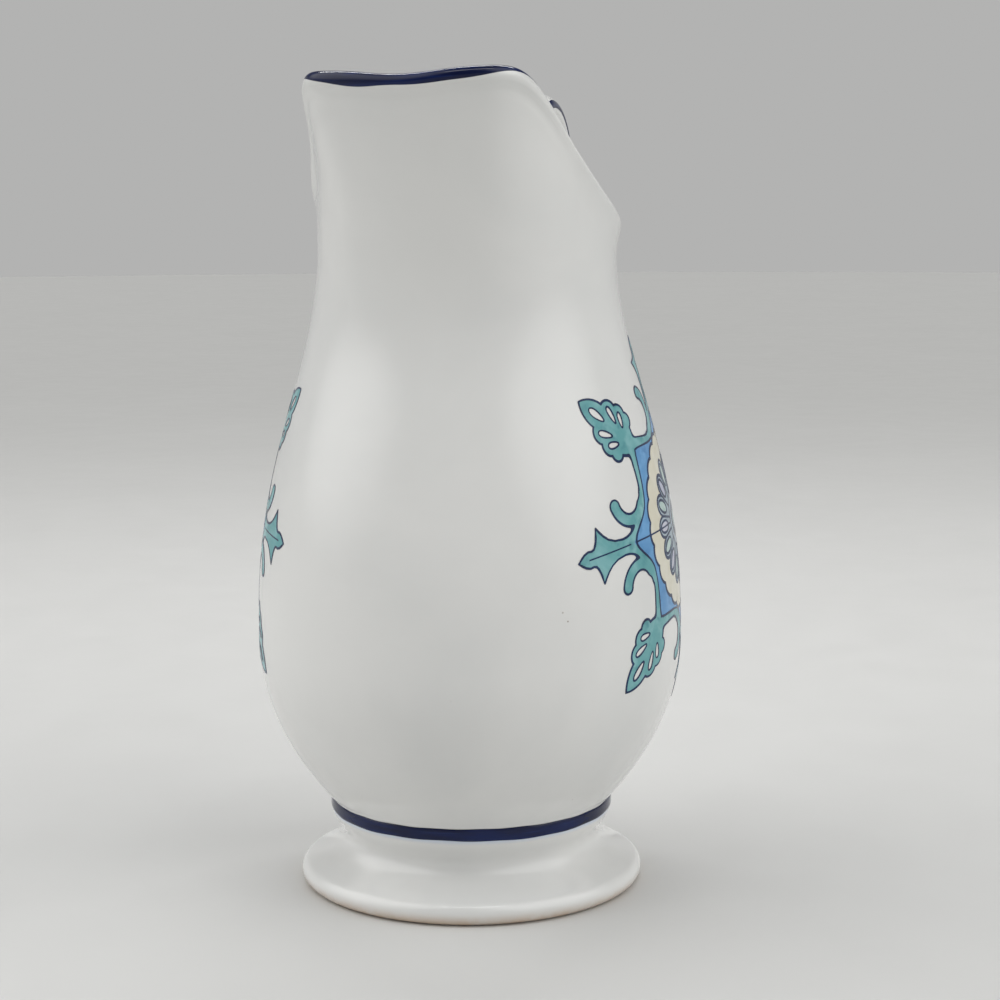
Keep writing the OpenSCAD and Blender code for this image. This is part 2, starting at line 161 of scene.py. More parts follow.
class Graph:
    """A material's node tree, with short calls for the nodes that the finishes use."""

    def __init__(self, name: str) -> None:
        """Start a material that has a Principled shader and its output.

        Args:
            name: Name of the material.
        """
        self.material = bpy.data.materials.new(name)
        self.material.use_nodes = True
        self.tree = self.material.node_tree
        self.tree.nodes.clear()
        output = self.node("ShaderNodeOutputMaterial")
        self.shader = self.node("ShaderNodeBsdfPrincipled")
        self.link(self.shader.outputs["BSDF"], output.inputs["Surface"])
        self.place = self.node("ShaderNodeTexCoord").outputs["Object"]

    def node(self, kind: str) -> bpy.types.Node:
        """Add a node of a kind."""
        return self.tree.nodes.new(kind)

    def link(self, source: bpy.types.NodeSocket, target: bpy.types.NodeSocket) -> None:
        """Join two sockets."""
        self.tree.links.new(source, target)

    def noise(self, scale: float, detail: float = 3.0, distortion: float = 0.0,
              squeeze: float = 1.0) -> bpy.types.NodeSocket:
        """Add a noise texture in object space.

        Args:
            scale: Features per metre.
            detail: Octaves.
            distortion: How far the pattern is bent.
            squeeze: How many times finer the pattern is in height than along the level.

        Returns:
            The factor socket.
        """
        place = self.place
        if squeeze != 1.0:
            finer = self.node("ShaderNodeVectorMath")
            finer.operation = "MULTIPLY"
            finer.inputs[1].default_value = (1.0, 1.0, squeeze)
            self.link(place, finer.inputs[0])
            place = finer.outputs["Vector"]
        node = self.node("ShaderNodeTexNoise")
        node.inputs["Scale"].default_value = scale
        node.inputs["Detail"].default_value = detail
        node.inputs["Distortion"].default_value = distortion
        self.link(place, node.inputs["Vector"])
        return node.outputs["Factor" if "Factor" in node.outputs else "Fac"]

    def span(self, value: bpy.types.NodeSocket, low: float, high: float, start: float = 0.0,
             end: float = 1.0) -> bpy.types.NodeSocket:
        """Map a value smoothly from one span to another.

        Args:
            value: Socket of the value.
            low: Value that gives start.
            high: Value that gives end.
            start: Result at low.
            end: Result at high.

        Returns:
            The result's socket.
        """
        node = self.node("ShaderNodeMapRange")
        node.interpolation_type = "SMOOTHSTEP"
        for name, number in (("From Min", low), ("From Max", high), ("To Min", start), ("To Max", end)):
            node.inputs[name].default_value = number
        self.link(value, node.inputs["Value"])
        return node.outputs["Result"]

    def product(self, a: bpy.types.NodeSocket, b: bpy.types.NodeSocket) -> bpy.types.NodeSocket:
        """Multiply two values.

        Args:
            a: Socket of one value.
            b: Socket of the other.

        Returns:
            The product's socket.
        """
        node = self.node("ShaderNodeMath")
        node.operation = "MULTIPLY"
        self.link(a, node.inputs[0])
        self.link(b, node.inputs[1])
        return node.outputs[0]

    def blend(self, factor: bpy.types.NodeSocket, a: Colour | bpy.types.NodeSocket,
              b: Colour) -> bpy.types.NodeSocket:
        """Mix two colours.

        Args:
            factor: Share of the second colour.
            a: First colour, or a socket that gives it.
            b: Second colour.

        Returns:
            The mixed colour's socket.
        """
        node = self.node("ShaderNodeMix")
        node.data_type = "RGBA"
        self.link(factor, node.inputs[0])
        if isinstance(a, tuple):
            node.inputs[MIX_FIRST].default_value = (*a, 1.0)
        else:
            self.link(a, node.inputs[MIX_FIRST])
        node.inputs[MIX_SECOND].default_value = (*b, 1.0)
        return node.outputs[MIX_RESULT]

    def spots(self, scale: float, size: float) -> bpy.types.NodeSocket:
        """Add small round spots, one in each cell of a Voronoi pattern.

        Args:
            scale: Cells per metre.
            size: Radius of a spot as a share of a cell.

        Returns:
            A mask, 1 on the spots.
        """
        solid = size * 0.4
        node = self.node("ShaderNodeTexVoronoi")
        node.inputs["Scale"].default_value = scale
        self.link(self.place, node.inputs["Vector"])
        return self.span(node.outputs["Distance"], size, solid)

    def height(self) -> bpy.types.NodeSocket:
        """Find the height above the table.

        Returns:
            Socket of the height in metres.
        """
        node = self.node("ShaderNodeSeparateXYZ")
        self.link(self.place, node.inputs[0])
        return node.outputs["Z"]

    def bump(self, value: bpy.types.NodeSocket, distance: float,
             under: bpy.types.NodeSocket | None = None) -> bpy.types.NodeSocket:
        """Add relief to the surface.

        Args:
            value: Height map.
            distance: Height of the relief in metres.
            under: Normal of a coarser relief, if there is one.

        Returns:
            The normal's socket.
        """
        node = self.node("ShaderNodeBump")
        node.inputs["Distance"].default_value = distance
        self.link(value, node.inputs["Height"])
        if under is not None:
            self.link(under, node.inputs["Normal"])
        return node.outputs["Normal"]

    def finish(self, colour: bpy.types.NodeSocket, roughness: bpy.types.NodeSocket,
               normal: bpy.types.NodeSocket, coat: float = 0.0, shine: float = 0.5) -> bpy.types.Material:
        """Join the results to the shader.

        Args:
            colour: Base colour.
            roughness: Roughness.
            normal: Surface normal.
            coat: Weight of the clear layer of glaze.
            shine: Specular level under it.

        Returns:
            The material.
        """
        self.link(colour, self.shader.inputs["Base Color"])
        self.link(roughness, self.shader.inputs["Roughness"])
        self.link(normal, self.shader.inputs["Normal"])
        self.shader.inputs["Coat Weight"].default_value = coat
        self.shader.inputs["Coat Roughness"].default_value = COAT_ROUGHNESS
        self.shader.inputs["Specular IOR Level"].default_value = shine
        self.shader.inputs["IOR"].default_value = REFRACTIVE_INDEX
        return self.material


@dataclass(frozen=True)
class Glaze:
    """Glossy off-white glaze over clay: cloudy tone, uneven surface, a few iron specks.

    Heights, widths and relief are in metres. Below bare_height the glaze thins and the warm clay shows
    through, and just below haze_height the cobalt of the band has run a little. At 0 there is neither.
    """

    name: str
    white: Colour = (0.79, 0.79, 0.775)
    cloud: Colour = (0.72, 0.725, 0.715)
    speck: Colour = (0.27, 0.22, 0.17)
    clay: Colour = (0.60, 0.44, 0.31)
    haze: Colour = (0.52, 0.61, 0.76)
    bare_height: float = 0.0
    bare_width: float = 0.0065
    haze_height: float = 0.0
    haze_width: float = 0.0022
    gloss: float = 0.07
    coat: float = 0.35
    wave_relief: float = 0.00011
    grain_relief: float = 0.000002

    def build(self) -> bpy.types.Material:
        """Make the material.

        Returns:
            The material.
        """
        graph = Graph(self.name)
        tone = graph.span(graph.noise(11.0, 4.0, distortion=0.4), 0.35, 0.72)
        colour = graph.blend(tone, self.white, self.cloud)
        rare = graph.span(graph.noise(38.0, 1.0), 0.69, 0.73)
        colour = graph.blend(graph.product(graph.spots(210.0, 0.1), rare), colour, self.speck)
        if self.haze_height > 0:
            run_end = self.haze_height - self.haze_width
            run = graph.span(graph.height(), run_end, self.haze_height, end=0.7)
            colour = graph.blend(run, colour, self.haze)
        if self.bare_height > 0:
            thin = graph.span(graph.height(), self.bare_height, self.bare_height - self.bare_width)
            patchy = graph.span(graph.noise(160.0, 4.0), 0.25, 0.6, start=0.55)
            colour = graph.blend(graph.product(thin, patchy), colour, self.clay)
        roughness = graph.span(graph.noise(55.0), 0.3, 0.75, self.gloss * 0.7, self.gloss * 1.5)
        waves = graph.bump(graph.noise(34.0, 1.0), self.wave_relief)
        normal = graph.bump(graph.noise(620.0, 2.0), self.grain_relief, waves)
        return graph.finish(colour, roughness, normal, coat=self.coat)


@dataclass(frozen=True)
class Cobalt:
    """Brushed cobalt line under gloss: streaks along the brush, nearly black where the colour pooled."""

    name: str
    deep: Colour = (0.003, 0.006, 0.034)
    bright: Colour = (0.004, 0.013, 0.078)
    thin: Colour = (0.010, 0.028, 0.135)
    smoothest: float = 0.08
    roughest: float = 0.16
    relief: float = 0.000012
    shine: float = 0.3

    def build(self) -> bpy.types.Material:
        """Make the material.

        Returns:
            The material.
        """
        graph = Graph(self.name)
        pool = graph.span(graph.noise(28.0, distortion=0.2, squeeze=9.0), 0.36, 0.7)
        colour = graph.blend(pool, self.deep, self.bright)
        streak = graph.span(graph.noise(45.0, 4.0, squeeze=22.0), 0.55, 0.8, end=0.6)
        colour = graph.blend(streak, colour, self.thin)
        roughness = graph.span(graph.noise(210.0), 0.3, 0.7, self.smoothest, self.roughest)
        normal = graph.bump(graph.noise(380.0), self.relief)
        return graph.finish(colour, roughness, normal, shine=self.shine)


@dataclass(frozen=True)
class Enamel:
    """Painted enamel: a wash that lies thin in places and pools in others, with a soft grain."""

    name: str
    thin: Colour
    full: Colour
    pooled: Colour
    smoothest: float = 0.14
    roughest: float = 0.26
    relief: float = 0.000025
    shine: float = 0.3

    def build(self) -> bpy.types.Material:
        """Make the material.

        Returns:
            The material.
        """
        graph = Graph(self.name)
        wash = graph.span(graph.noise(95.0, 4.0, distortion=0.6), 0.3, 0.62)
        colour = graph.blend(wash, self.thin, self.full)
        pools = graph.span(graph.noise(170.0, distortion=0.3), 0.52, 0.75, end=0.85)
        colour = graph.blend(pools, colour, self.pooled)
        roughness = graph.span(graph.noise(240.0), 0.3, 0.7, self.smoothest, self.roughest)
        normal = graph.bump(graph.noise(520.0), self.relief)
        return graph.finish(colour, roughness, normal, shine=self.shine)


@dataclass(frozen=True)
class Palette:
    """Materials of the medallions."""

    teal: bpy.types.Material
    blue: bpy.types.Material
    cream: bpy.types.Material
    petal: bpy.types.Material
    green: bpy.types.Material
    lilac: bpy.types.Material
    navy: bpy.types.Material

    @classmethod
    def mix(cls) -> "Palette":
        """Mix the enamels, each from its thin, full and pooled colour.

        Returns:
            The palette.
        """
        teal = Enamel("teal_enamel", (0.25, 0.50, 0.52), (0.13, 0.365, 0.385), (0.075, 0.265, 0.30))
        blue = Enamel("blue_enamel", (0.17, 0.39, 0.68), (0.11, 0.295, 0.56), (0.08, 0.235, 0.48))
        cream = Enamel("cream_enamel", (0.73, 0.71, 0.61), (0.69, 0.66, 0.54), (0.63, 0.60, 0.47))
        petal = Enamel("petal_enamel", (0.42, 0.50, 0.55), (0.32, 0.40, 0.46), (0.22, 0.30, 0.37))
        green = Enamel("green_enamel", (0.56, 0.68, 0.65), (0.44, 0.58, 0.55), (0.33, 0.48, 0.46))
        lilac = Enamel("lilac_enamel", (0.60, 0.61, 0.69), (0.47, 0.49, 0.61), (0.35, 0.37, 0.52))
        navy = Enamel("navy_print", (0.018, 0.045, 0.12), (0.011, 0.026, 0.08), (0.007, 0.014, 0.05))
        return cls(*(enamel.build() for enamel in (teal, blue, cream, petal, green, lilac, navy)))


def add_piece(name: str, points: np.ndarray, faces: Sequence[Sequence[int]],
              finishes: Sequence[bpy.types.Material], slot: Slot, nodes: Sequence[str] = (),
              indices: np.ndarray | None = None) -> None:
    """Make a mesh piece that rides on the body and stands for its nodes.

    Args:
        name: Name of the piece.
        points: Points in millimetres, one row each.
        faces: Point numbers of each face.
        finishes: Materials.
        slot: Material slot of the record.
        nodes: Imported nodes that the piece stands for.
        indices: Material number of each face, if there is more than one.
    """
    mesh = bpy.data.meshes.new(name)
    mesh.from_pydata((np.asarray(points).reshape(-1, 3) * MM).tolist(), [], [list(face) for face in faces])
    for material in finishes:
        mesh.materials.append(material)
    if indices is not None:
        mesh.polygons.foreach_set("material_index", np.asarray(indices, dtype=np.int32))
    shaped = bmesh.new()
    shaped.from_mesh(mesh)
    bmesh.ops.recalc_face_normals(shaped, faces=shaped.faces)
    shaped.to_mesh(mesh)
    shaped.free()
    mesh.shade_smooth()
    mesh.set_sharp_from_angle(angle=SHARP_ANGLE)
    piece = bpy.data.objects.new(name, mesh)
    bpy.context.scene.collection.objects.link(piece)
    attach(piece, ROOT)
    if nodes:
        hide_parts(*nodes)
    LOG.info("%s: %d faces, slot %s", name, len(mesh.polygons), slot.value)


def grid_faces(rows: int, cols: int, closed_rows: bool = False) -> list[tuple[int, ...]]:
    """List the four-sided faces of a grid of points in which each row joins its own start.

    Args:
        rows: Rows of points.
        cols: Points in a row.
        closed_rows: Whether the last row joins the first.

    Returns:
        Point numbers of each face.
    """
    i, j = np.meshgrid(np.arange(rows if closed_rows else rows - 1), np.arange(cols), indexing="ij")
    k, m = (i + 1) % rows, (j + 1) % cols
    quads = np.stack([i * cols + j, i * cols + m, k * cols + m, k * cols + j], -1).reshape(-1, 4)
    return [tuple(quad) for quad in quads.tolist()]


def tube_faces(rows: int, cols: int) -> list[tuple[int, ...]]:
    """List the faces of a tube of points, with a face over each end.

    Args:
        rows: Rows of points along the tube.
        cols: Points round it.

    Returns:
        Point numbers of each face.
    """
    count = rows * cols
    ends = [tuple(range(cols)), tuple(range(count - 1, count - cols - 1, -1))]
    return grid_faces(rows, cols) + ends


@dataclass(frozen=True)
class VesselShape:
    """Sizes and formulas of the ewer's wall, in millimetres."""

    # Belly and neck
    belly_radius: float = 79.5
    belly_height: float = 94.0
    belly_power: float = 2.1
    neck_radius: float = 55.0
    neck_height: float = 238.0
    neck_power: float = 1.3
    neck_forward: float = 2.3
    neck_forward_rise: float = 55.0
    wall: float = 5.0
    floor_thickness: float = 7.0
    split: float = 190.0

    # Spout and rim
    spout_height: float = 301.0
    spout_reach: float = 23.5
    spout_half_angle: float = 61.0
    spout_flat: float = 22.0
    spout_start: float = 195.0
    spout_power: float = 1.95
    rim_drop: float = 57.0
    rim_knee: float = 61.7
    rim_power: float = 4.1
    rim_back_rise: float = 7.0
    rim_back_start: float = 110.0
    rim_flare: float = 2.8
    rim_flare_depth: float = 16.0
    rim_thickness: float = 6.0

    # Joint with the foot
    waist_radius: float = 53.2
    joint_height: float = 30.5
    band_width: float = 4.5
    slip: float = 0.6

    # Unevenness of the hand-pressed lip, the groove under it, the spout's flanks and the leaning throat
    lip_dip: float = 2.8
    lip_dip_width: float = 15.5
    lip_shoulder: float = 1.6
    lip_shoulder_angle: float = 31.0
    lip_shoulder_width: float = 8.0
    lip_tilt: float = 0.9
    lip_tilt_width: float = 40.0
    roll_depth: float = 0.95
    roll_drop: float = 7.2
    roll_width: float = 2.1
    roll_end: float = 58.0
    roll_fade: float = 26.0
    flank_fill: float = 1.0
    flank_angle: float = 54.0
    flank_width: float = 10.8
    flank_start: float = 225.0
    flank_rise: float = 45.0
    throat_lean: float = 0.6
    throat_start: float = 214.0
    throat_end: float = 258.0
    throat_fade: float = 30.0

    @property
    def seat(self) -> float:
        """Height of the body's underside."""
        return self.joint_height + self.slip / 2

    @property
    def band_low(self) -> float:
        """Height of the lower edge of the band over the joint."""
        return self.joint_height - self.band_width / 2

    @property
    def band_top(self) -> float:
        """Height of the band's upper edge, where the belly starts to swell."""
        return self.joint_height + self.band_width / 2

    @property
    def inner_floor(self) -> float:
        """Height of the floor inside."""
        return self.seat + self.floor_thickness

    def profile(self, z: np.ndarray) -> np.ndarray:
        """Work out the round pear-shaped body without its spout.

        Args:
            z: Heights.

        Returns:
            Radius at each height.
        """
        swell = np.clip((z - self.band_top) / (self.belly_height - self.band_top), 0.0, 1.0)
        widening = self.belly_radius - self.waist_radius
        low = self.waist_radius + widening * (1.0 - (1.0 - swell) ** self.belly_power)
        fall = np.clip((z - self.belly_height) / (self.neck_height - self.belly_height), 0.0, 1.0)
        high = self.belly_radius - (self.belly_radius - self.neck_radius) * ease(fall ** self.neck_power)
        return np.where(z <= self.belly_height, low, high)

    def rim_height(self, a: np.ndarray) -> np.ndarray:
        """Work out the top of the rim; the hand-pressed lip stands a little higher on its right.

        Args:
            a: Angles.

        Returns:
            Height of the rim at each angle.
        """
        uneven = self.lip_tilt * a / self.lip_tilt_width * hump(a, self.lip_tilt_width)
        a = np.abs(a)
        fall = self.rim_drop / (1.0 + (a / self.rim_knee) ** self.rim_power)
        shoulder = self.lip_shoulder * hump(a - self.lip_shoulder_angle, self.lip_shoulder_width)
        lip = shoulder - self.lip_dip * hump(a, self.lip_dip_width)
        back = self.rim_back_rise * ease((a - self.rim_back_start) / (180.0 - self.rim_back_start))
        return self.spout_height - self.rim_drop + fall + uneven + lip + back

    def outer_radius(self, a: np.ndarray, z: np.ndarray) -> np.ndarray:
        """Work out the outer face of the body with its spout.

        Args:
            a: Angles.
            z: Heights.

        Returns:
            Radius at each angle and height.
        """
        aside = np.abs(a)
        up = np.maximum(0.0, (z - self.spout_start) / (self.spout_height - self.spout_start))
        rise = up ** self.spout_power
        across = ease(1.0 - (aside - self.spout_flat) / (self.spout_half_angle - self.spout_flat))
        drop = self.rim_height(a) - z
        flare = np.maximum(0.0, 1.0 - drop / self.rim_flare_depth) ** 2
        hollow = hump(drop - self.roll_drop, self.roll_width) * ease((self.roll_end - aside) / self.roll_fade)
        filled = ease((z - self.flank_start) / self.flank_rise)
        flank = hump(aside - self.flank_angle, self.flank_width) * filled
        return (self.profile(z) + self.spout_reach * rise * across + self.rim_flare * flare
                - self.roll_depth * hollow + self.flank_fill * flank)

    def centre_y(self, z: np.ndarray) -> np.ndarray:
        """Place of the section's centre along Y: the neck stands a little forward of the belly."""
        return -self.neck_forward * ease((z - self.split) / self.neck_forward_rise)

    def centre_x(self, z: np.ndarray) -> np.ndarray:
        """Place of the section's centre along X: the throat leans a little to the right."""
        start = ease((z - self.throat_start) / self.throat_fade)
        return self.throat_lean * start * (1.0 - ease((z - self.throat_end) / self.throat_fade))

    def lean(self, a: np.ndarray, z: np.ndarray) -> np.ndarray:
        """Work out the outward lean of the outer face.

        Args:
            a: Angles.
            z: Heights.

        Returns:
            Leans in radians.
        """
        step = 0.25
        widening = self.outer_radius(a, z + step) - self.outer_radius(a, z - step)
        return np.arctan(widening / (2 * step))

    def rim_start(self, a: np.ndarray) -> np.ndarray:
        """Work out where the wall ends and the rounded rim begins.

        Args:
            a: Angles.

        Returns:
            Height at each angle.
        """
        half = self.rim_thickness / 2
        tilt = self.lean(a, self.rim_height(a) - half - 1.0)
        return self.rim_height(a) - half * (1.0 + np.sin(tilt))

    def at(self, a: np.ndarray, r: np.ndarray, z: np.ndarray, level: np.ndarray) -> np.ndarray:
        """Place points about the centre of a section.

        Args:
            a: Angles.
            r: Radii.
            z: Heights of the points.
            level: Heights that give the section's centre.

        Returns:
            The points.
        """
        turn = np.radians(a)
        x = self.centre_x(level) + r * np.sin(turn)
        y = self.centre_y(level) - r * np.cos(turn)
        return np.stack(np.broadcast_arrays(x, y, z), -1)

    def wall_point(self, a: np.ndarray, z: np.ndarray, lift: float = 0.0) -> np.ndarray:
        """Place points on the outer face.

        Args:
            a: Angles.
            z: Heights.
            lift: Distance out from the face.

        Returns:
            The points.
        """
        tilt = self.lean(a, z)
        r = self.outer_radius(a, z) + lift * np.cos(tilt)
        return self.at(a, r, z - lift * np.sin(tilt), z)

    def rim_point(self, a: np.ndarray, along: np.ndarray, lift: float = 0.0) -> np.ndarray:
        """Place points on the rounded rim and on the outer face below it.

        Args:
            a: Angles.
            along: Distance over the surface from the top of the rim, positive on the outside.
            lift: Distance out from the surface.

        Returns:
            The points.
        """
        z = self.rim_start(a)
        tilt = self.lean(a, z)
        half = self.rim_thickness / 2
        turn = np.pi / 2 - along / half
        r = self.outer_radius(a, z) - half * np.cos(tilt) + (half + lift) * np.cos(turn)
        on_rim = self.at(a, r, z + half * np.sin(tilt) + (half + lift) * np.sin(turn), z)
        past = along - half * (np.pi / 2 + tilt)
        on_wall = self.wall_point(a, z - np.maximum(past, 0.0) * np.cos(tilt), lift)
        return np.where((past > 0)[..., None], on_wall, on_rim)

    def inner_point(self, a: np.ndarray, z: np.ndarray, k: np.ndarray) -> np.ndarray:
        """Place points on the inner face, set in from the outer face by the wall.

        Args:
            a: Angles.
            z: Heights on the outer face.
            k: Share of the way from the split to the rim, 0 below the split.

        Returns:
            The points.
        """
        thick = self.wall + (self.rim_thickness - self.wall) * np.maximum(0.0, k) ** 3
        tilt = self.lean(a, z)
        r = self.outer_radius(a, z) - thick * np.cos(tilt)
        return self.at(a, r, z + thick * np.sin(tilt), z)

    def back_wall_y(self, x: np.ndarray, z: np.ndarray) -> np.ndarray:
        """Find the outer face on the handle's side, closing in on it in a few rounds.

        Args:
            x: Places along X.
            z: Heights.

        Returns:
            Places along Y.
        """
        rounds = 6
        a = np.full(np.shape(x), 180.0)
        for _ in range(rounds):
            a = 180.0 - np.degrees(np.arcsin(np.clip(x / self.outer_radius(a, z), -1.0, 1.0)))
        return self.centre_y(z) - self.outer_radius(a, z) * np.cos(np.radians(a))


@dataclass
class Vessel:
    """The hollow body: belly, neck and spout in one piece of clay.

    The inside follows the wall down to a share bowl_from of the belly's swell, then rounds into the floor.
    """

    shape: VesselShape
    columns: int = 288
    band_rings: int = 3
    belly_rings: int = 100
    neck_rings: int = 64
    rim_rings: int = 20
    inner_neck_rings: int = 48
    inner_belly_rings: int = 60
    bowl_rings: int = 26
    bowl_from: float = 0.31
    bowl_end: float = 88.0

    def rings(self) -> np.ndarray:
        """Lay out the body from the underside up the outer face, over the rim and down to the inner floor.

        Returns:
            Rings of points in that order.
        """
        shape = self.shape
        a = np.linspace(-180.0, 180.0, self.columns, endpoint=False)
        levels = np.concatenate([np.linspace(shape.seat, shape.band_top, self.band_rings),
                                 np.linspace(shape.band_top, shape.split, self.belly_rings)[1:]])
        low = [shape.wall_point(a, np.full_like(a, z)) for z in levels]
        top = shape.rim_start(a)
        neck = [shape.wall_point(a, shape.split + (top - shape.split) * k)
                for k in np.linspace(0, 1, self.neck_rings)[1:]]
        tilt = shape.lean(a, top)
        half = shape.rim_thickness / 2
        rim = [shape.rim_point(a, half * (np.pi / 2 + tilt - np.pi * k))
               for k in np.linspace(0, 1, self.rim_rings)[1:-1]]
        inner = [shape.inner_point(a, shape.split + (top - shape.split) * k, np.full_like(a, k))
                 for k in np.linspace(1, 0, self.inner_neck_rings)]
        bowl_z = shape.band_top + (shape.belly_height - shape.band_top) * self.bowl_from
        inner += [shape.inner_point(a, np.full_like(a, z), np.zeros_like(a))
                  for z in np.linspace(shape.split, bowl_z, self.inner_belly_rings)[1:]]
        start = inner[-1]
        bowl = []
        for b in np.radians(np.linspace(0, self.bowl_end, self.bowl_rings)[1:]):
            ring = start * np.array([math.cos(b), math.cos(b), 1.0])
            ring[:, 2] = start[:, 2] - (start[:, 2] - shape.inner_floor) * math.sin(b)
            bowl.append(ring)
        return np.array(low + neck + rim + inner + bowl)

    def build(self, glaze: bpy.types.Material) -> None:
        """Make the body's mesh and dress it.

        Args:
            glaze: Material of the body.
        """
        rings = self.rings()
        rows = len(rings)
        under = rows * self.columns
        last = under - self.columns
        middles = [[0, 0, self.shape.seat], [0, 0, self.shape.inner_floor]]
        points = np.concatenate([rings.reshape(-1, 3), middles])
        faces = grid_faces(rows, self.columns)
        for j in range(self.columns):
            k = (j + 1) % self.columns
            faces.append((under, k, j))
            faces.append((under + 1, last + j, last + k))
        add_piece("glazed_body", points, faces, [glaze], Slot.GLAZE, ["body"])


@dataclass
class RimLine:
    """The cobalt line on the rim, brushed by hand.

    It runs low over the outside of the lip, lower on its left: brush_edges are the distances of its outer
    edge from the top of the rim at brush_angles, and blur rounds the corners between them.
    """

    shape: VesselShape
    columns: int = 480
    rows: int = 22
    lift: float = 0.12
    bury: float = 0.15
    tuck: float = 0.05
    blur: float = 4.0
    inner_edge: float = -3.4
    brush_angles: tuple[float, ...] = (
        -180, -60, -44, -36, -32, -28, -20, -15, -11, -4, 2, 12, 20, 28, 34, 40, 180)
    brush_edges: tuple[float, ...] = (
        1.2, 1.0, 0.6, 1, 2.2, 4, 6, 7, 7, 5.5, 5.2, 5.8, 5.2, 3.6, 1.9, 0.6, 1.2)

    def lower_edge(self, a: np.ndarray) -> np.ndarray:
        """Distance from the top of the rim to the line's outer edge."""
        near = np.linspace(-self.blur, self.blur, 9)
        return np.mean([np.interp(a + step, self.brush_angles, self.brush_edges) for step in near], axis=0)

    def build(self, cobalt: bpy.types.Material) -> None:
        """Make the line's mesh and dress it.

        Args:
            cobalt: Material of the line.
        """
        a = np.linspace(-180.0, 180.0, self.columns, endpoint=False)
        t = np.radians(a)
        low = tremble(self.lower_edge(a), t, (0.16, 9, 0.4), (0.1, 23, 0.0))
        high = tremble(self.inner_edge, t, (0.18, 7, 1.1), (0.1, 19, 0.6))
        rows = [self.shape.rim_point(a, low + self.tuck, -self.bury)]
        for k in np.linspace(0, 1, self.rows):
            rows.append(self.shape.rim_point(a, low + (high - low) * k, self.lift * paint_edge(k)))
        rows.append(self.shape.rim_point(a, high - self.tuck, -self.bury))
        faces = grid_faces(len(rows), self.columns, closed_rows=True)
        add_piece("painted_rim_line", np.array(rows), faces, [cobalt], Slot.COBALT, ["rim_line"])


@dataclass
class Foot:
    """The hollow pedestal foot with its joint and the cobalt band over the joint.

    The resting ring's inner edge and the start of the recess are given as distance in from the flare and
    height.
    """

    shape: VesselShape
    columns: int = 256
    radius: float = 65.0
    edge: float = 8.4
    edge_start: float = 72.0
    cove_radius: float = 48.5
    cove_drop: float = 12.0
    flare_power: float = 2.2
    foot_wall: float = 6.0
    joint_width: float = 12.2
    inner_edge: tuple[tuple[float, float], ...] = ((6.5, 0.0), (8.2, 0.7), (9.3, 2.2))
    recess_start: tuple[float, float] = (9.5, 2.5)
    recess_roof: float = 11.0
    recess_part: float = 0.86
    recess_full: float = 0.95
    band_lift: float = 0.35
    band_bury: float = 0.2
    band_tuck: float = 0.05
    band_rows: int = 12

    def outline(self) -> np.ndarray:
        """Draw the foot's section from the joint down the outside and up the inside.

        Returns:
            Radius and height of each point.
        """
        shape = self.shape
        cove_z = shape.joint_height - self.cove_drop
        half = self.edge / 2
        flare = self.radius - half
        foot_top = shape.joint_height - shape.slip / 2
        points = [(shape.waist_radius, foot_top)]
        for k in np.linspace(0, 1, 17):
            ring = self.cove_radius + (shape.waist_radius - self.cove_radius) * float(ease(np.array(1.0 - k)))
            points.append((ring, shape.band_low + (cove_z - shape.band_low) * k))
        start = math.radians(self.edge_start)
        start_r, start_z = flare + half * math.cos(start), half + half * math.sin(start)
        for k in np.linspace(0, 1, 25)[1:]:
            ring = self.cove_radius + (start_r - self.cove_radius) * k ** self.flare_power
            points.append((ring, cove_z + (start_z - cove_z) * k))
        for b in np.radians(np.linspace(self.edge_start, -90, 24)[1:]):
            points.append((flare + half * math.cos(b), half + half * math.sin(b)))
        points += [(flare - inward, z) for inward, z in self.inner_edge]
        inside = self.cove_radius - self.foot_wall
        inward, low = self.recess_start
        for k in np.linspace(0, 1, 16)[1:]:
            eased = float(ease(np.array(k * self.recess_part)))
            ring = flare - inward + (inside - flare + inward) * eased / self.recess_full
            points.append((ring, low + (shape.joint_height - self.recess_roof - low) * k))
        points.append((shape.waist_radius - self.joint_width, foot_top))
        return np.array(points)

    def build(self, glaze: bpy.types.Material) -> None:
        """Make the foot's mesh and dress it.

        Args:
            glaze: Material of the foot.
        """
        outline = self.outline()
        t = np.linspace(0, 2 * np.pi, self.columns, endpoint=False)
        points = np.stack([np.outer(outline[:, 0], np.sin(t)), np.outer(outline[:, 0], -np.cos(t)),
                           np.repeat(outline[:, 1:], self.columns, 1)], -1)
        faces = grid_faces(len(outline), self.columns, closed_rows=True)
        add_piece("glazed_foot", points, faces, [glaze], Slot.GLAZE, ["foot"])

    def band(self, cobalt: bpy.types.Material) -> None:
        """Make the brushed band over the joint.

        Args:
            cobalt: Material of the band.
        """
        shape = self.shape
        t = np.linspace(0, 2 * np.pi, self.columns, endpoint=False)
        low = tremble(shape.band_low, t, (0.14, 5, 1.0), (0.09, 17, 0.0))
        high = tremble(shape.band_top, t, (0.14, 4, 0.0), (0.09, 21, 0.7))
        buried = shape.waist_radius - self.band_bury
        rows = [ring_points(buried, t, low + self.band_tuck)]
        for k in np.linspace(0, 1, self.band_rows):
            lift = self.band_lift * paint_edge(k, steep=6.0, start=0.2)
            z = low + (high - low) * k
            rows.append(ring_points(np.maximum(shape.profile(z), shape.waist_radius) + lift, t, z))
        rows.append(ring_points(buried, t, high - self.band_tuck))
        faces = grid_faces(len(rows), self.columns, closed_rows=True)
        add_piece("painted_waist_band", np.array(rows), faces, [cobalt], Slot.COBALT, ["waist_line"])


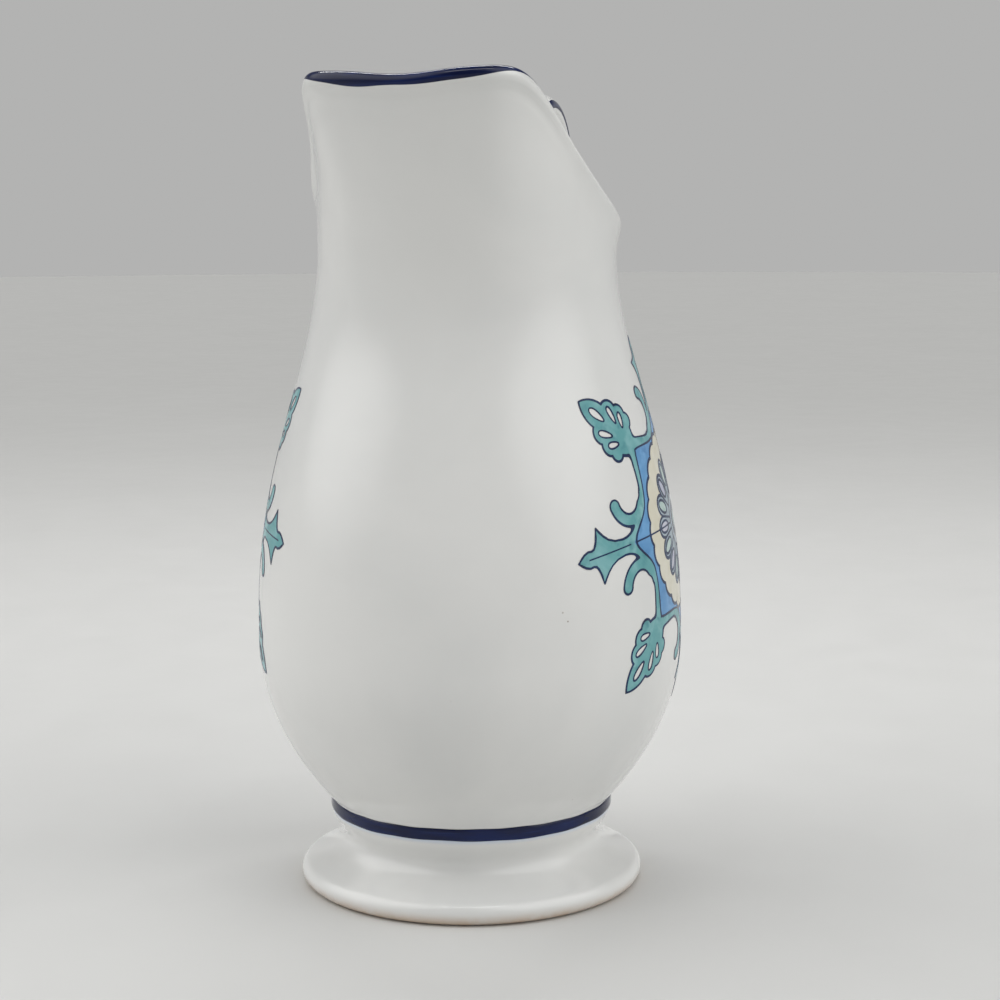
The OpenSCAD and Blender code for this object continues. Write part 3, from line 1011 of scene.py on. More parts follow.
@dataclass
class Handle:
    """The loop handle: a strap with a crowned outer face, its two luted joints and its cobalt edge lines.

    The centre line is three curves in Y and Z, from the rim over the top and the widest point to the wall.
    The pulls are the offsets of their control points. A place along the strap counts curve_steps for each
    curve.
    """

    shape: VesselShape
    strap_width: float = 23.0
    strap_thickness: float = 9.5
    crown_share: float = 0.64
    inner_power: float = 0.56
    end_widening: float = 0.14

    # Centre line
    top: tuple[float, float] = (85.0, 293.0)
    wide: tuple[float, float] = (116.0, 262.0)
    low: float = 152.0
    rim_pull: tuple[float, float] = (16.0, 9.0)
    top_pulls: tuple[tuple[float, float], ...] = ((-20.0, -1.0), (19.0, 1.0))
    wide_pulls: tuple[tuple[float, float], ...] = ((0.0, 16.0), (0.0, -46.0))
    wall_pull: tuple[float, float] = (30.0, 20.0)
    curve_steps: int = 11
    end_steps: int = 6
    stations: int = 210
    columns: int = 64

    # Flat seats on the wall's facets: columns round the body, columns beside the middle, rows of the neck
    segments: int = 64
    seat_side: int = 3
    neck_rows: int = 10
    seat_row: int = 6
    pad_half: float = 11.0

    # Painted lines, as angles from the crown
    line_from: float = 64.0
    line_to: float = 92.0
    line_points: int = 9
    line_lift: float = 0.12
    line_bury: float = 0.25

    # Smoothed joints
    joint_reach: float = 2.6
    upper_spread: float = 1.26
    lower_spread: float = 1.34
    joint_rows: int = 14
    joint_skin: float = 0.03
    joint_core: float = 1.2
    joint_feather: float = 0.15
    joint_fill: float = 0.25
    joint_depth: float = 1.5

    ends: list[tuple[np.ndarray, np.ndarray]] = field(init=False, default_factory=list)
    curves: list[list[np.ndarray]] = field(init=False, default_factory=list)

    def __post_init__(self) -> None:
        """Work out the two flat seats on the wall and the curves of the centre line."""
        shape = self.shape
        a = 180.0 + np.arange(-self.seat_side, self.seat_side + 1) * 360.0 / self.segments
        top = shape.rim_start(a)
        upper = np.array([shape.wall_point(a, shape.split + (top - shape.split) * k / self.neck_rows)
                          for k in range(self.seat_row, self.neck_rows + 1)])
        lower = np.array([shape.wall_point(a, np.full_like(a, z))
                          for z in (self.low - self.pad_half, self.low, self.low + self.pad_half)])
        for seat in (upper, lower):
            rise = seat[-1, self.seat_side] - seat[0, self.seat_side]
            normal = np.array([0.0, rise[2], -rise[1]]) / math.hypot(rise[1], rise[2])
            reach = float((seat.reshape(-1, 3) @ normal).max()) + shape.slip
            middle = seat[len(seat) // 2, self.seat_side]
            self.ends.append((middle + normal * (reach - middle @ normal), normal))
        start, end = self.ends[0][0][1:], self.ends[1][0][1:]
        high, wide = np.array(self.top), np.array(self.wide)
        self.curves += [
            [start, start + self.rim_pull, high + self.top_pulls[0], high],
            [high, high + self.top_pulls[1], wide + self.wide_pulls[0], wide],
            [wide, wide + self.wide_pulls[1], end + self.wall_pull, end],
        ]

    @property
    def last(self) -> int:
        """Place of the strap's lower end."""
        return len(self.curves) * self.curve_steps

    def centre(self, u: float) -> tuple[np.ndarray, np.ndarray]:
        """Find a point of the centre line.

        Args:
            u: Place along the strap, from 0 to last.

        Returns:
            The point and the unit direction there, in Y and Z.
        """
        number = min(int(u // self.curve_steps), len(self.curves) - 1)
        t = u / self.curve_steps - number
        p = self.curves[number]
        point = p[0] * (1 - t) ** 3 + p[1] * 3 * t * (1 - t) ** 2 + p[2] * 3 * t * t * (1 - t) + p[3] * t ** 3
        way = (p[1] - p[0]) * (1 - t) ** 2 + (p[2] - p[1]) * 2 * t * (1 - t) + (p[3] - p[2]) * t * t
        return point, way / np.linalg.norm(way)

    def section(self, b: np.ndarray, grow: float = 0.0) -> np.ndarray:
        """Draw the strap's section.

        Args:
            b: Angles from the crown, in degrees; over 90 on the inner face.
            grow: Distance out from the outline.

        Returns:
            Points across the strap and out from the loop.
        """
        half = self.strap_width / 2
        crown = self.strap_thickness * self.crown_share
        hollow = self.strap_thickness - crown
        turn = np.radians(b)
        outer = np.stack([half * np.sin(turn), crown * np.cos(turn)], -1)
        square = np.sign(np.sin(turn)) * np.abs(np.sin(turn)) ** self.inner_power
        inner = np.stack([half * square, -hollow * np.abs(np.cos(turn)) ** self.inner_power], -1)
        points = np.where((np.cos(turn) >= 0)[:, None], outer, inner)
        normal = np.stack([crown * np.sin(turn), half * np.cos(turn)], -1)
        return points + grow * normal / np.linalg.norm(normal, axis=1)[:, None]

    def station(self, u: float, flat: np.ndarray) -> np.ndarray:
        """Place a section on the centre line, sheared near the ends to meet the seats.

        Args:
            u: Place along the strap.
            flat: Points of the section.

        Returns:
            The points in space.
        """
        point, direction = self.centre(u)
        way = np.array([0.0, direction[0], direction[1]])
        square = np.array([0.0, -way[2], way[1]])
        shear = 0.0
        shares = (1 - u / self.end_steps, 1 - (self.last - u) / self.end_steps)
        for share, (_, normal) in zip(shares, self.ends):
            shear += max(0.0, share) * (square @ normal) / (way @ normal)
        widen = 1 + self.end_widening * abs(2 * u / self.last - 1) ** 6
        points = np.outer(flat[:, 1], square - way * shear)
        points[:, 0] += flat[:, 0] * widen
        return points + np.array([0.0, point[0], point[1]])

    def build(self, glaze: bpy.types.Material) -> None:
        """Make the strap's mesh and dress it.

        Args:
            glaze: Material of the strap.
        """
        b = np.linspace(-180, 180, self.columns, endpoint=False)
        rows = [self.station(u, self.section(b)) for u in np.linspace(0, self.last, self.stations)]
        faces = tube_faces(len(rows), self.columns)
        add_piece("glazed_handle", np.array(rows), faces, [glaze], Slot.GLAZE, ["handle"])

    def lines(self, cobalt: bpy.types.Material) -> None:
        """Make the cobalt lines along the strap's two edges.

        Args:
            cobalt: Material of the lines.
        """
        edge = np.array([paint_edge(k) for k in np.linspace(0, 1, self.line_points)])
        for side in Side:
            rows = []
            for u in np.linspace(0, self.last, self.stations):
                wave = 1.1 * math.sin(0.9 * u) + 0.6 * math.sin(2.1 * u + 0.5)
                b = np.linspace(self.line_from + wave, self.line_to + 0.5 * wave, self.line_points)
                flush = self.section(b)
                lifted = flush + (self.section(b, self.line_lift) - flush) * edge[:, None]
                ring = np.concatenate([lifted, self.section(b[::-1], -self.line_bury)])
                rows.append(self.station(u, ring * [side.value, 1.0]))
            faces = tube_faces(len(rows), len(rows[0]))
            add_piece(f"painted_handle_line_{side.label}", np.array(rows), faces, [cobalt], Slot.COBALT,
                      [f"handle_line_{side.label}"])

    def joints(self, glaze: bpy.types.Material) -> None:
        """Make the smoothed clay round the strap's two ends.

        Args:
            glaze: Material of the joints.
        """
        b = np.linspace(-180, 180, self.columns, endpoint=False)
        places = (("upper", 0.0, self.joint_reach, self.upper_spread),
                  ("lower", float(self.last), -self.joint_reach, self.lower_spread))
        for name, end, reach, spread in places:
            near = self.station(end, self.section(b))
            start = self.station(end + reach, self.section(b, self.joint_skin))
            inside = self.station(end + reach, self.section(b, -self.joint_core))
            middle = near.mean(0)
            foot = middle + (near - middle) * spread
            foot[:, 1] = self.shape.back_wall_y(foot[:, 0], foot[:, 2]) - self.joint_feather
            corner = near.copy()
            corner[:, 1] = self.shape.back_wall_y(near[:, 0], near[:, 2]) + self.joint_fill
            sunk = foot.copy()
            sunk[:, 1] -= self.joint_depth
            rows = [(1 - t) ** 2 * start + 2 * t * (1 - t) * corner + t * t * foot
                    for t in np.linspace(0, 1, self.joint_rows)]
            rows += [sunk, inside]
            faces = grid_faces(len(rows), self.columns, closed_rows=True)
            add_piece(f"smoothed_joint_{name}", np.array(rows), faces, [glaze], Slot.SLIP, [f"{name}_slip"])


class PrintGrid:
    """A square grid over the flat design, on which shapes are fields that are negative inside."""

    LEAST_SLOPE = 0.15
    CORNER_MARGIN = 0.04

    def __init__(self, reach: float, step: float) -> None:
        """Lay out the grid.

        Args:
            reach: Half the grid's width in millimetres.
            step: Spacing of its points.
        """
        self.step = step
        self.axis = np.arange(-reach, reach + step, step)
        self.u, self.v = np.meshgrid(self.axis, self.axis)
        self.radius = np.hypot(self.u, self.v)
        self.angle = np.degrees(np.arctan2(self.v, self.u))

    def even(self, shape_field: np.ndarray) -> np.ndarray:
        """Turn a field into distances from its edge.

        Args:
            shape_field: Values that are negative inside the shape.

        Returns:
            Distances in millimetres, true close to the edge.
        """
        dv, du = np.gradient(shape_field, self.step)
        return shape_field / np.maximum(np.hypot(du, dv), self.LEAST_SLOPE)

    @staticmethod
    def key(k: np.ndarray, m: np.ndarray) -> np.ndarray:
        """Name the place between two grid points, or a point itself where both are the same."""
        return np.stack([np.minimum(k, m), np.maximum(k, m)], -1)

    def cut(self, shape_field: np.ndarray) -> tuple[np.ndarray, np.ndarray]:
        """Cut the part of the grid inside a shape into triangles.

        Args:
            shape_field: Values that are negative inside the shape.

        Returns:
            Flat points, and the point numbers of each triangle.
        """
        n = len(self.axis)
        value = shape_field.ravel()
        flat = np.stack([self.u.ravel(), self.v.ravel()], -1)
        corner = (np.arange(n - 1)[:, None] * n + np.arange(n - 1)).ravel()
        a, b, c, d = corner, corner + 1, corner + n + 1, corner + n
        triangles = np.concatenate([np.stack([a, b, c], -1), np.stack([a, c, d], -1)])
        inside = value[triangles] < 0
        count = inside.sum(1)
        key = self.key
        whole = triangles[count == 3]
        ends: list[np.ndarray] = [key(whole, whole)]
        for wanted in (1, 2):
            chosen = count == wanted
            tri, ins = triangles[chosen], inside[chosen]
            odd = ins if wanted == 1 else ~ins
            first = odd.argmax(1)
            p, q, r = (tri[np.arange(len(tri)), (first + k) % 3] for k in range(3))
            if wanted == 1:
                ends.append(np.stack([key(p, p), key(p, q), key(p, r)], 1))
            else:
                ends.append(np.stack([key(q, q), key(r, r), key(r, p)], 1))
                ends.append(np.stack([key(q, q), key(r, p), key(p, q)], 1))
        keys = np.concatenate(ends).reshape(-1, 2)
        unique, numbers = np.unique(keys, axis=0, return_inverse=True)
        low, high = value[unique[:, 0]], value[unique[:, 1]]
        crossing = np.clip(low / (low - high + 1e-12), self.CORNER_MARGIN, 1.0 - self.CORNER_MARGIN)
        share = np.where(unique[:, 0] == unique[:, 1], 0.0, crossing)
        points = flat[unique[:, 0]] + (flat[unique[:, 1]] - flat[unique[:, 0]]) * share[:, None]
        return points, numbers.reshape(-1, 3)


def within(*fields: np.ndarray) -> np.ndarray:
    """Give the field of what lies in every one of some shapes."""
    return reduce(np.maximum, fields)


def either(*fields: np.ndarray) -> np.ndarray:
    """Give the field of what lies in any one of some shapes."""
    return reduce(np.minimum, fields)


def stroke(across: np.ndarray, along: np.ndarray, sizes: tuple[float, float, float]) -> np.ndarray:
    """Draw a straight stroke.

    Args:
        across: Distance from the stroke's middle line.
        along: Distance along it.
        sizes: Half the stroke's width, its start and its end.

    Returns:
        The stroke's field.
    """
    half, start, end = sizes
    return within(across - half, start - along, along - end)


def joined(a: np.ndarray, b: np.ndarray, soft: float) -> np.ndarray:
    """Join two shapes with a small fillet.

    Args:
        a: Field of one shape.
        b: Field of the other.
        soft: Size of the fillet.

    Returns:
        Field of both.
    """
    near = np.maximum(soft - np.abs(a - b), 0.0) / soft
    return np.minimum(a, b) - near * near * soft / 4


@dataclass
class Medallion:
    """A painted rosette on each side: leaves and palmettes on scrolled stems round a star and a flower.

    The design is drawn flat in millimetres about its middle. One eighth of it repeats by mirroring, and squat
    brings the upper and lower leaves nearer the middle. Angles are in degrees from the nearest axis.
    """

    shape: VesselShape

    # Place on the belly; the left print was laid by hand a little turned, lower and nearer the spout
    height: float = 139.0
    angle: float = 98.9
    bend: float = 345.0
    stretch: float = 1.005
    left_turn: float = 5.0
    left_rise: float = -3.0
    left_shift: float = -2.4

    # Layers of paint, and the grids that they are cut from
    margin: float = 3.0
    fill_step: float = 0.75
    line_step: float = 0.37
    fill_lift: float = 0.09
    line_lift: float = 0.14
    bury: float = 0.12

    # Star and stems, with the star's radii as shares of the whole radius
    radius: float = 73.0
    squat: float = 0.06
    star_low: float = 0.48
    star_axis: float = 0.605
    star_corner: float = 0.59
    star_turn: float = 21.0
    star_power: float = 1.8
    stem_width: float = 2.7
    stem_corner_swell: float = 1.2
    stem_corner_from: float = 28.0
    stem_corner_span: float = 15.0
    stem_axis_swell: float = 1.0
    stem_axis_span: float = 9.0
    fillet: float = 2.0

    # Leaf on an axis: half its width at distances along the axis
    leaf_along: tuple[float, ...] = (
        43.0, 46.0, 50.0, 54.0, 57.0, 59.0, 60.6, 61.6, 62.2, 63.2, 64.2, 65.3, 66.8, 68.5, 70.0, 71.3)
    leaf_half: tuple[float, ...] = (
        3.2, 3.1, 2.8, 3.3, 4.6, 6.3, 8.2, 9.6, 7.4, 4.6, 3.1, 2.7, 2.9, 2.3, 1.2, 0.0)

    # Palmette on a diagonal: place and radius of its lobes; place, turn and half sizes of its eyes
    palmette_start: float = 46.4
    palmette_size: float = 1.05
    heart: tuple[float, float, float] = (7.5, 10.0, 7.0)
    tip: tuple[float, float, float] = (17.5, 5.2, 9.8)
    lobes: tuple[tuple[float, float, float], ...] = ((13.6, 4.4, 3.9), (9.0, 6.2, 3.7), (4.9, 6.6, 3.0))
    eyes: tuple[tuple[float, float, float, float, float], ...] = (
        (17.6, 0.0, 0.0, 3.6, 1.35),
        (11.9, 4.0, 24.0, 3.3, 1.1),
        (7.3, 5.2, 42.0, 2.8, 1.05),
    )
    eye_taper: float = 0.3

    # Curl beside an axis, with its places as shares of the whole radius
    curl_angle: float = 20.5
    curl_place: float = 0.624
    curl_radius: float = 0.109
    curl_start: float = -22.0
    curl_turn: float = 70.0
    curl_end: float = 148.0
    curl_width: float = 4.3
    curl_widening: float = 34.0
    curl_swell: float = 0.3
    curl_cap: float = 2.35
    curl_fade: float = 0.15

    # Ring and flower
    ring_radius: float = 31.5
    scallop: float = 1.35
    scallop_power: float = 0.7
    petal_pitch: float = 22.5
    petal_middle: float = 19.2
    petal_length: float = 5.1
    petal_overlap: float = 1.02
    loop_middle: float = 18.4
    loop_length: float = 4.4
    loop_width: float = 2.1
    core_radius: float = 10.2
    halo_inner: float = 6.7
    halo_outer: float = 9.0
    centre_radius: float = 3.2
    centre_points: float = 0.9

    # Printed lines: shares that some have of the full width, least radius of the flower's outlines, and the
    # half width, start and end of the straight strokes
    line: float = 0.8
    line_swell: float = 0.22
    eye_line: float = 0.8
    ring_line: float = 1.5
    petal_line: float = 1.3
    petal_line_from: float = 19.3
    loop_line: float = 1.05
    loop_line_from: float = 11.0
    rib: tuple[float, float, float] = (0.26, 46.0, 67.0)
    seam: tuple[float, float, float] = (0.3, 10.0, 43.2)
    spoke: tuple[float, float, float] = (0.42, 9.8, 19.7)

    def fields(self, grid: PrintGrid) -> dict[str, np.ndarray]:
        """Work out the shapes of the design.

        Args:
            grid: Grid over the design.

        Returns:
            Distances from the edge of each shape by name.
        """
        f = np.abs((grid.angle + 45.0) % 90.0 - 45.0)
        upright = np.maximum(-np.cos(np.radians(2.0 * grid.angle)), 0.0)
        reach = grid.radius * (1.0 + self.squat * upright)
        x, y = reach * np.cos(np.radians(f)), reach * np.sin(np.radians(f))
        star = grid.even(reach - self.star_edge(f))
        near_corner = ease((f - self.stem_corner_from) / self.stem_corner_span)
        near_axis = ease((self.stem_axis_span - f) / self.stem_axis_span)
        stem_width = (self.stem_width + self.stem_corner_swell * near_corner
                      + self.stem_axis_swell * near_axis)
        stem = np.abs(star - stem_width / 2) - stem_width / 2
        leaf = grid.even(self.three_lobed_leaf(x, y))
        palmette, eyes = self.palmette(grid, reach, f)
        greens = joined(joined(stem, leaf, self.fillet), palmette, self.fillet)
        greens = joined(greens, self.curl(x, y), self.fillet)
        scallops = np.abs(np.cos(np.radians(12 * grid.angle))) ** self.scallop_power
        ring = grid.even(grid.radius - self.ring_radius - self.scallop * scallops)
        petals, loops = self.petals(grid)
        return {"greens": greens, "eyes": eyes, "star": star, "ring": ring, "petals": petals, "loops": loops,
                "axis": y, "along": x}

    def star_edge(self, f: np.ndarray) -> np.ndarray:
        """Work out the star's edge, which has a point on each axis and each diagonal.

        Args:
            f: Angle from the nearest axis.

        Returns:
            Radius at each angle.
        """
        shares = (self.star_low, self.star_axis, self.star_corner)
        low, axis, corner = (self.radius * share for share in shares)
        near = (axis - low) * np.clip(1.0 - f / self.star_turn, 0.0, 1.0) ** self.star_power
        past = (f - self.star_turn) / (45.0 - self.star_turn)
        far = (corner - low) * np.clip(past, 0.0, 1.0) ** self.star_power
        return low + near + far

    def three_lobed_leaf(self, x: np.ndarray, y: np.ndarray) -> np.ndarray:
        """Draw the leaf on an axis.

        Args:
            x: Distance along the axis.
            y: Distance from the axis.

        Returns:
            The leaf's field.
        """
        inside = y - np.interp(x, self.leaf_along, self.leaf_half)
        return within(inside, x - self.leaf_along[-1], self.leaf_along[0] - x)

    def palmette(self, grid: PrintGrid, reach: np.ndarray, f: np.ndarray) -> tuple[np.ndarray, np.ndarray]:
        """Draw the palmette on a diagonal and its pierced eyes.

        Args:
            grid: Grid over the design.
            reach: Distance from the middle.
            f: Angle from the nearest axis.

        Returns:
            The palmette's field and the eyes' field.
        """
        turn = np.radians(45.0 - f)
        px = (reach * np.cos(turn) - self.palmette_start) / self.palmette_size
        py = reach * np.sin(turn) / self.palmette_size
        heart_along, heart_long, heart_wide = self.heart
        fan = grid.even(np.hypot((px - heart_along) / heart_long, py / heart_wide) - 1.0)
        tip_along, tip_aside, tip_radius = self.tip
        fan = np.minimum(fan, np.hypot(px - tip_along, py + tip_aside) - tip_radius)
        for along, across, size in self.lobes:
            fan = np.minimum(fan, np.hypot(px - along, py - across) - size)
        eyes = np.full_like(px, FAR_OUTSIDE)
        for along, across, way, long_half, wide_half in self.eyes:
            cos, sin = math.cos(math.radians(way)), math.sin(math.radians(way))
            out = ((px - along) * cos + (py - across) * sin) / long_half
            aside = ((py - across) * cos - (px - along) * sin) / wide_half
            taper = np.maximum(1.0 + self.eye_taper * out, 0.3)
            eyes = np.minimum(eyes, np.hypot(out, aside / taper) - 1.0)
        return self.palmette_size * fan, grid.even(eyes)

    def curl(self, x: np.ndarray, y: np.ndarray) -> np.ndarray:
        """Draw the curl that leaves the stem beside an axis: part of a circle that ends in a round cap.

        Args:
            x: Distance along the axis.
            y: Distance from the axis.

        Returns:
            The curl's field.
        """
        turn = math.radians(self.curl_angle)
        inward = np.array([-math.cos(turn), -math.sin(turn)])
        towards = np.array([math.sin(turn), -math.cos(turn)])
        middle = -inward * self.radius * self.curl_place
        radius = self.radius * self.curl_radius
        dx, dy = x - middle[0], y - middle[1]
        b = np.degrees(np.arctan2(dx * towards[0] + dy * towards[1], dx * inward[0] + dy * inward[1]))
        width = (self.curl_width * ease((b - self.curl_start) / self.curl_widening)
                 + self.curl_swell * ease((b - self.curl_turn) / (self.curl_end - self.curl_turn)))
        band = np.abs(np.hypot(dx, dy) - radius) - width / 2
        before = np.maximum(self.curl_start - b, 0.0)
        band = np.where(b < self.curl_end, band + self.curl_fade * before, FAR_OUTSIDE)
        turn = math.radians(self.curl_end)
        tip = middle + radius * (inward * math.cos(turn) + towards * math.sin(turn))
        return np.minimum(band, np.hypot(x - tip[0], y - tip[1]) - self.curl_cap)

    def off_petal(self, grid: PrintGrid) -> np.ndarray:
        """Angle from the middle of the nearest petal, in degrees."""
        half = self.petal_pitch / 2
        return np.abs((grid.angle + half) % self.petal_pitch - half)

    def petals(self, grid: PrintGrid) -> tuple[np.ndarray, np.ndarray]:
        """Draw the flower's petals and the small loop inside each.

        Args:
            grid: Grid over the design.

        Returns:
            The petals' field and the loops' field.
        """
        off = np.radians(self.off_petal(grid))
        x, y = grid.radius * np.cos(off), grid.radius * np.sin(off)
        side = math.tan(math.radians(self.petal_pitch / 2))
        wedge = y / np.maximum(x * side, 0.1) - self.petal_overlap
        end = np.hypot((x - self.petal_middle) / self.petal_length, y / (self.petal_middle * side)) - 1.0
        petals = grid.even(np.where(x > self.petal_middle, end, wedge))
        loops = grid.even(np.hypot((x - self.loop_middle) / self.loop_length, y / self.loop_width) - 1.0)
        return petals, loops

    def lines(self, grid: PrintGrid) -> np.ndarray:
        """Draw the printed outline.

        Args:
            grid: Fine grid over the design.

        Returns:
            Field of the lines, negative inside them.
        """
        shapes = self.fields(grid)
        axis, along = shapes["axis"], shapes["along"]
        swell = self.line_swell * np.sin(0.19 * grid.u + 0.11 * grid.v)
        half = self.line / 2 * (1.0 + swell * np.cos(0.13 * grid.v - 0.07 * grid.u))
        between = grid.radius * np.sin(np.radians(self.petal_pitch / 2 - self.off_petal(grid)))
        return either(
            np.abs(shapes["greens"]) - half,
            np.abs(shapes["eyes"]) - self.eye_line * half,
            np.abs(shapes["ring"]) - self.ring_line * half,
            within(np.abs(shapes["petals"]) - self.petal_line * half, self.petal_line_from - grid.radius),
            within(np.abs(shapes["loops"]) - self.loop_line * half, self.loop_line_from - grid.radius),
            stroke(axis, along, self.rib),
            stroke(axis, along, self.seam),
            stroke(between, grid.radius, self.spoke),
        )

    def lay(self, flat: np.ndarray, side: Side, lift: float) -> np.ndarray:
        """Lay flat points on the belly, as a print is laid: level lines bend because the belly slopes.

        Args:
            flat: Points of the design.
            side: Side of the ewer.
            lift: Distance out from the wall.

        Returns:
            The points in space.
        """
        height, angle, tilt = self.height, self.angle, 0.0
        if side is Side.LEFT:
            height += self.left_rise
            angle += self.left_shift
            tilt = math.radians(self.left_turn)
        u = flat[:, 0] * math.cos(tilt) + flat[:, 1] * math.sin(tilt)
        v = flat[:, 1] * math.cos(tilt) - flat[:, 0] * math.sin(tilt)
        reach = np.hypot(u, self.bend - v)
        turn = np.arctan2(u, self.bend - v)
        z = height + self.stretch * (self.bend - reach)
        a = angle + np.degrees(turn * reach / self.shape.profile(z))
        return self.shape.wall_point(a, z, lift) * [side.value, 1.0, 1.0]

    def layer(self, name: str, parts: Sequence[tuple[np.ndarray, np.ndarray, int]], side: Side, lift: float,
              finishes: Sequence[bpy.types.Material], slot: Slot, nodes: Sequence[str] = ()) -> None:
        """Make one layer of paint as a thin closed plate that follows the wall and is bedded in it.

        Args:
            name: Name of the piece.
            parts: Flat points, triangles and material number of each part.
            side: Side of the ewer.
            lift: Height of the paint over the wall.
            finishes: Materials.
            slot: Material slot of the record.
            nodes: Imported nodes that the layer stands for.
        """
        points: list[np.ndarray] = []
        faces: list[list[int]] = []
        indices: list[int] = []
        base = 0
        for flat, triangles, number in parts:
            edges = np.concatenate([triangles[:, [0, 1]], triangles[:, [1, 2]], triangles[:, [2, 0]]])
            known = {tuple(edge) for edge in edges.tolist()}
            rim = [edge for edge in edges.tolist() if (edge[1], edge[0]) not in known]
            points += [self.lay(flat, side, lift), self.lay(flat, side, -self.bury)]
            down = base + len(flat)
            faces += (triangles + base).tolist()
            faces += (triangles[:, ::-1] + down).tolist()
            faces += [[base + j, base + i, down + i, down + j] for i, j in rim]
            indices += [number] * (2 * len(triangles) + len(rim))
            base += 2 * len(flat)
        add_piece(name, np.concatenate(points), faces, finishes, slot, nodes, np.array(indices))

    def fills(self, grid: PrintGrid) -> dict[str, list[tuple[np.ndarray, int]]]:
        """Share the design among the enamels.

        Args:
            grid: Grid over the design.

        Returns:
            For each layer, the field and the material number of each of its parts.
        """
        shapes = self.fields(grid)
        petals, loops = shapes["petals"], shapes["loops"]
        core = grid.radius - self.core_radius
        every_other = np.cos(np.radians(8.0 * grid.angle))
        centre = grid.radius - self.centre_radius - self.centre_points * every_other
        halo = within(grid.radius - self.halo_outer, self.halo_inner - grid.radius)
        return {
            "leaves": [(within(shapes["greens"], -shapes["eyes"]), 0)],
            "ground": [(within(shapes["star"], -shapes["ring"]), 0)],
            "ring": [(within(shapes["ring"], -petals), 0)],
            "flower": [
                (within(petals, -loops, -core), FlowerFinish.PETAL),
                (within(loops, -core, every_other), FlowerFinish.GREEN),
                (within(loops, -core, -every_other), FlowerFinish.LILAC),
                (within(core, -halo, -centre), FlowerFinish.NAVY),
                (halo, FlowerFinish.PETAL),
                (centre, FlowerFinish.GREEN),
            ],
        }

    def build(self, palette: Palette) -> None:
        """Make the layers of paint on both sides.

        Args:
            palette: Materials of the design.
        """
        grid = PrintGrid(self.radius + self.margin, self.fill_step)
        cuts = {name: [(*grid.cut(shape), int(number)) for shape, number in parts]
                for name, parts in self.fills(grid).items()}
        fine = PrintGrid(self.radius + self.margin, self.line_step)
        outline = [(*fine.cut(self.lines(fine)), 0)]
        dress = {
            "leaves": ([palette.teal], Slot.TEAL),
            "ground": ([palette.blue], Slot.BLUE),
            "ring": ([palette.cream], Slot.CREAM),
            "flower": ([palette.petal, palette.green, palette.navy, palette.lilac], Slot.NAVY),
        }
        for side in Side:
            for name, parts in cuts.items():
                finishes, slot = dress[name]
                self.layer(f"enamel_{name}_{side.label}", parts, side, self.fill_lift, finishes, slot,
                           [f"{name}_{side.label}"])
            self.layer(f"printed_outline_{side.label}", outline, side, self.line_lift, [palette.navy],
                       Slot.NAVY)


@dataclass(frozen=True)
class Lamp:
    """A soft lamp with a rectangular face that looks at the ewer, in metres and watts."""

    name: str
    place: tuple[float, float, float]
    size: tuple[float, float]
    power: float
    aim_height: float = 0.15

    def build(self) -> None:
        """Add the lamp."""
        data = bpy.data.lights.new(self.name, "AREA")
        data.shape = "RECTANGLE"
        data.size, data.size_y = self.size
        data.energy = self.power
        lamp = bpy.data.objects.new(self.name, data)
        lamp.location = self.place
        way = Vector((0.0, 0.0, self.aim_height)) - Vector(self.place)
        lamp.rotation_euler = way.to_track_quat("-Z", "Y").to_euler()
        bpy.context.scene.collection.objects.link(lamp)


@dataclass(frozen=True)
class SkyField:
    """A soft bright field of the world, which fades between two angles from its middle, in degrees."""

    towards: tuple[float, float, float]
    outer: float
    inner: float
    strength: float


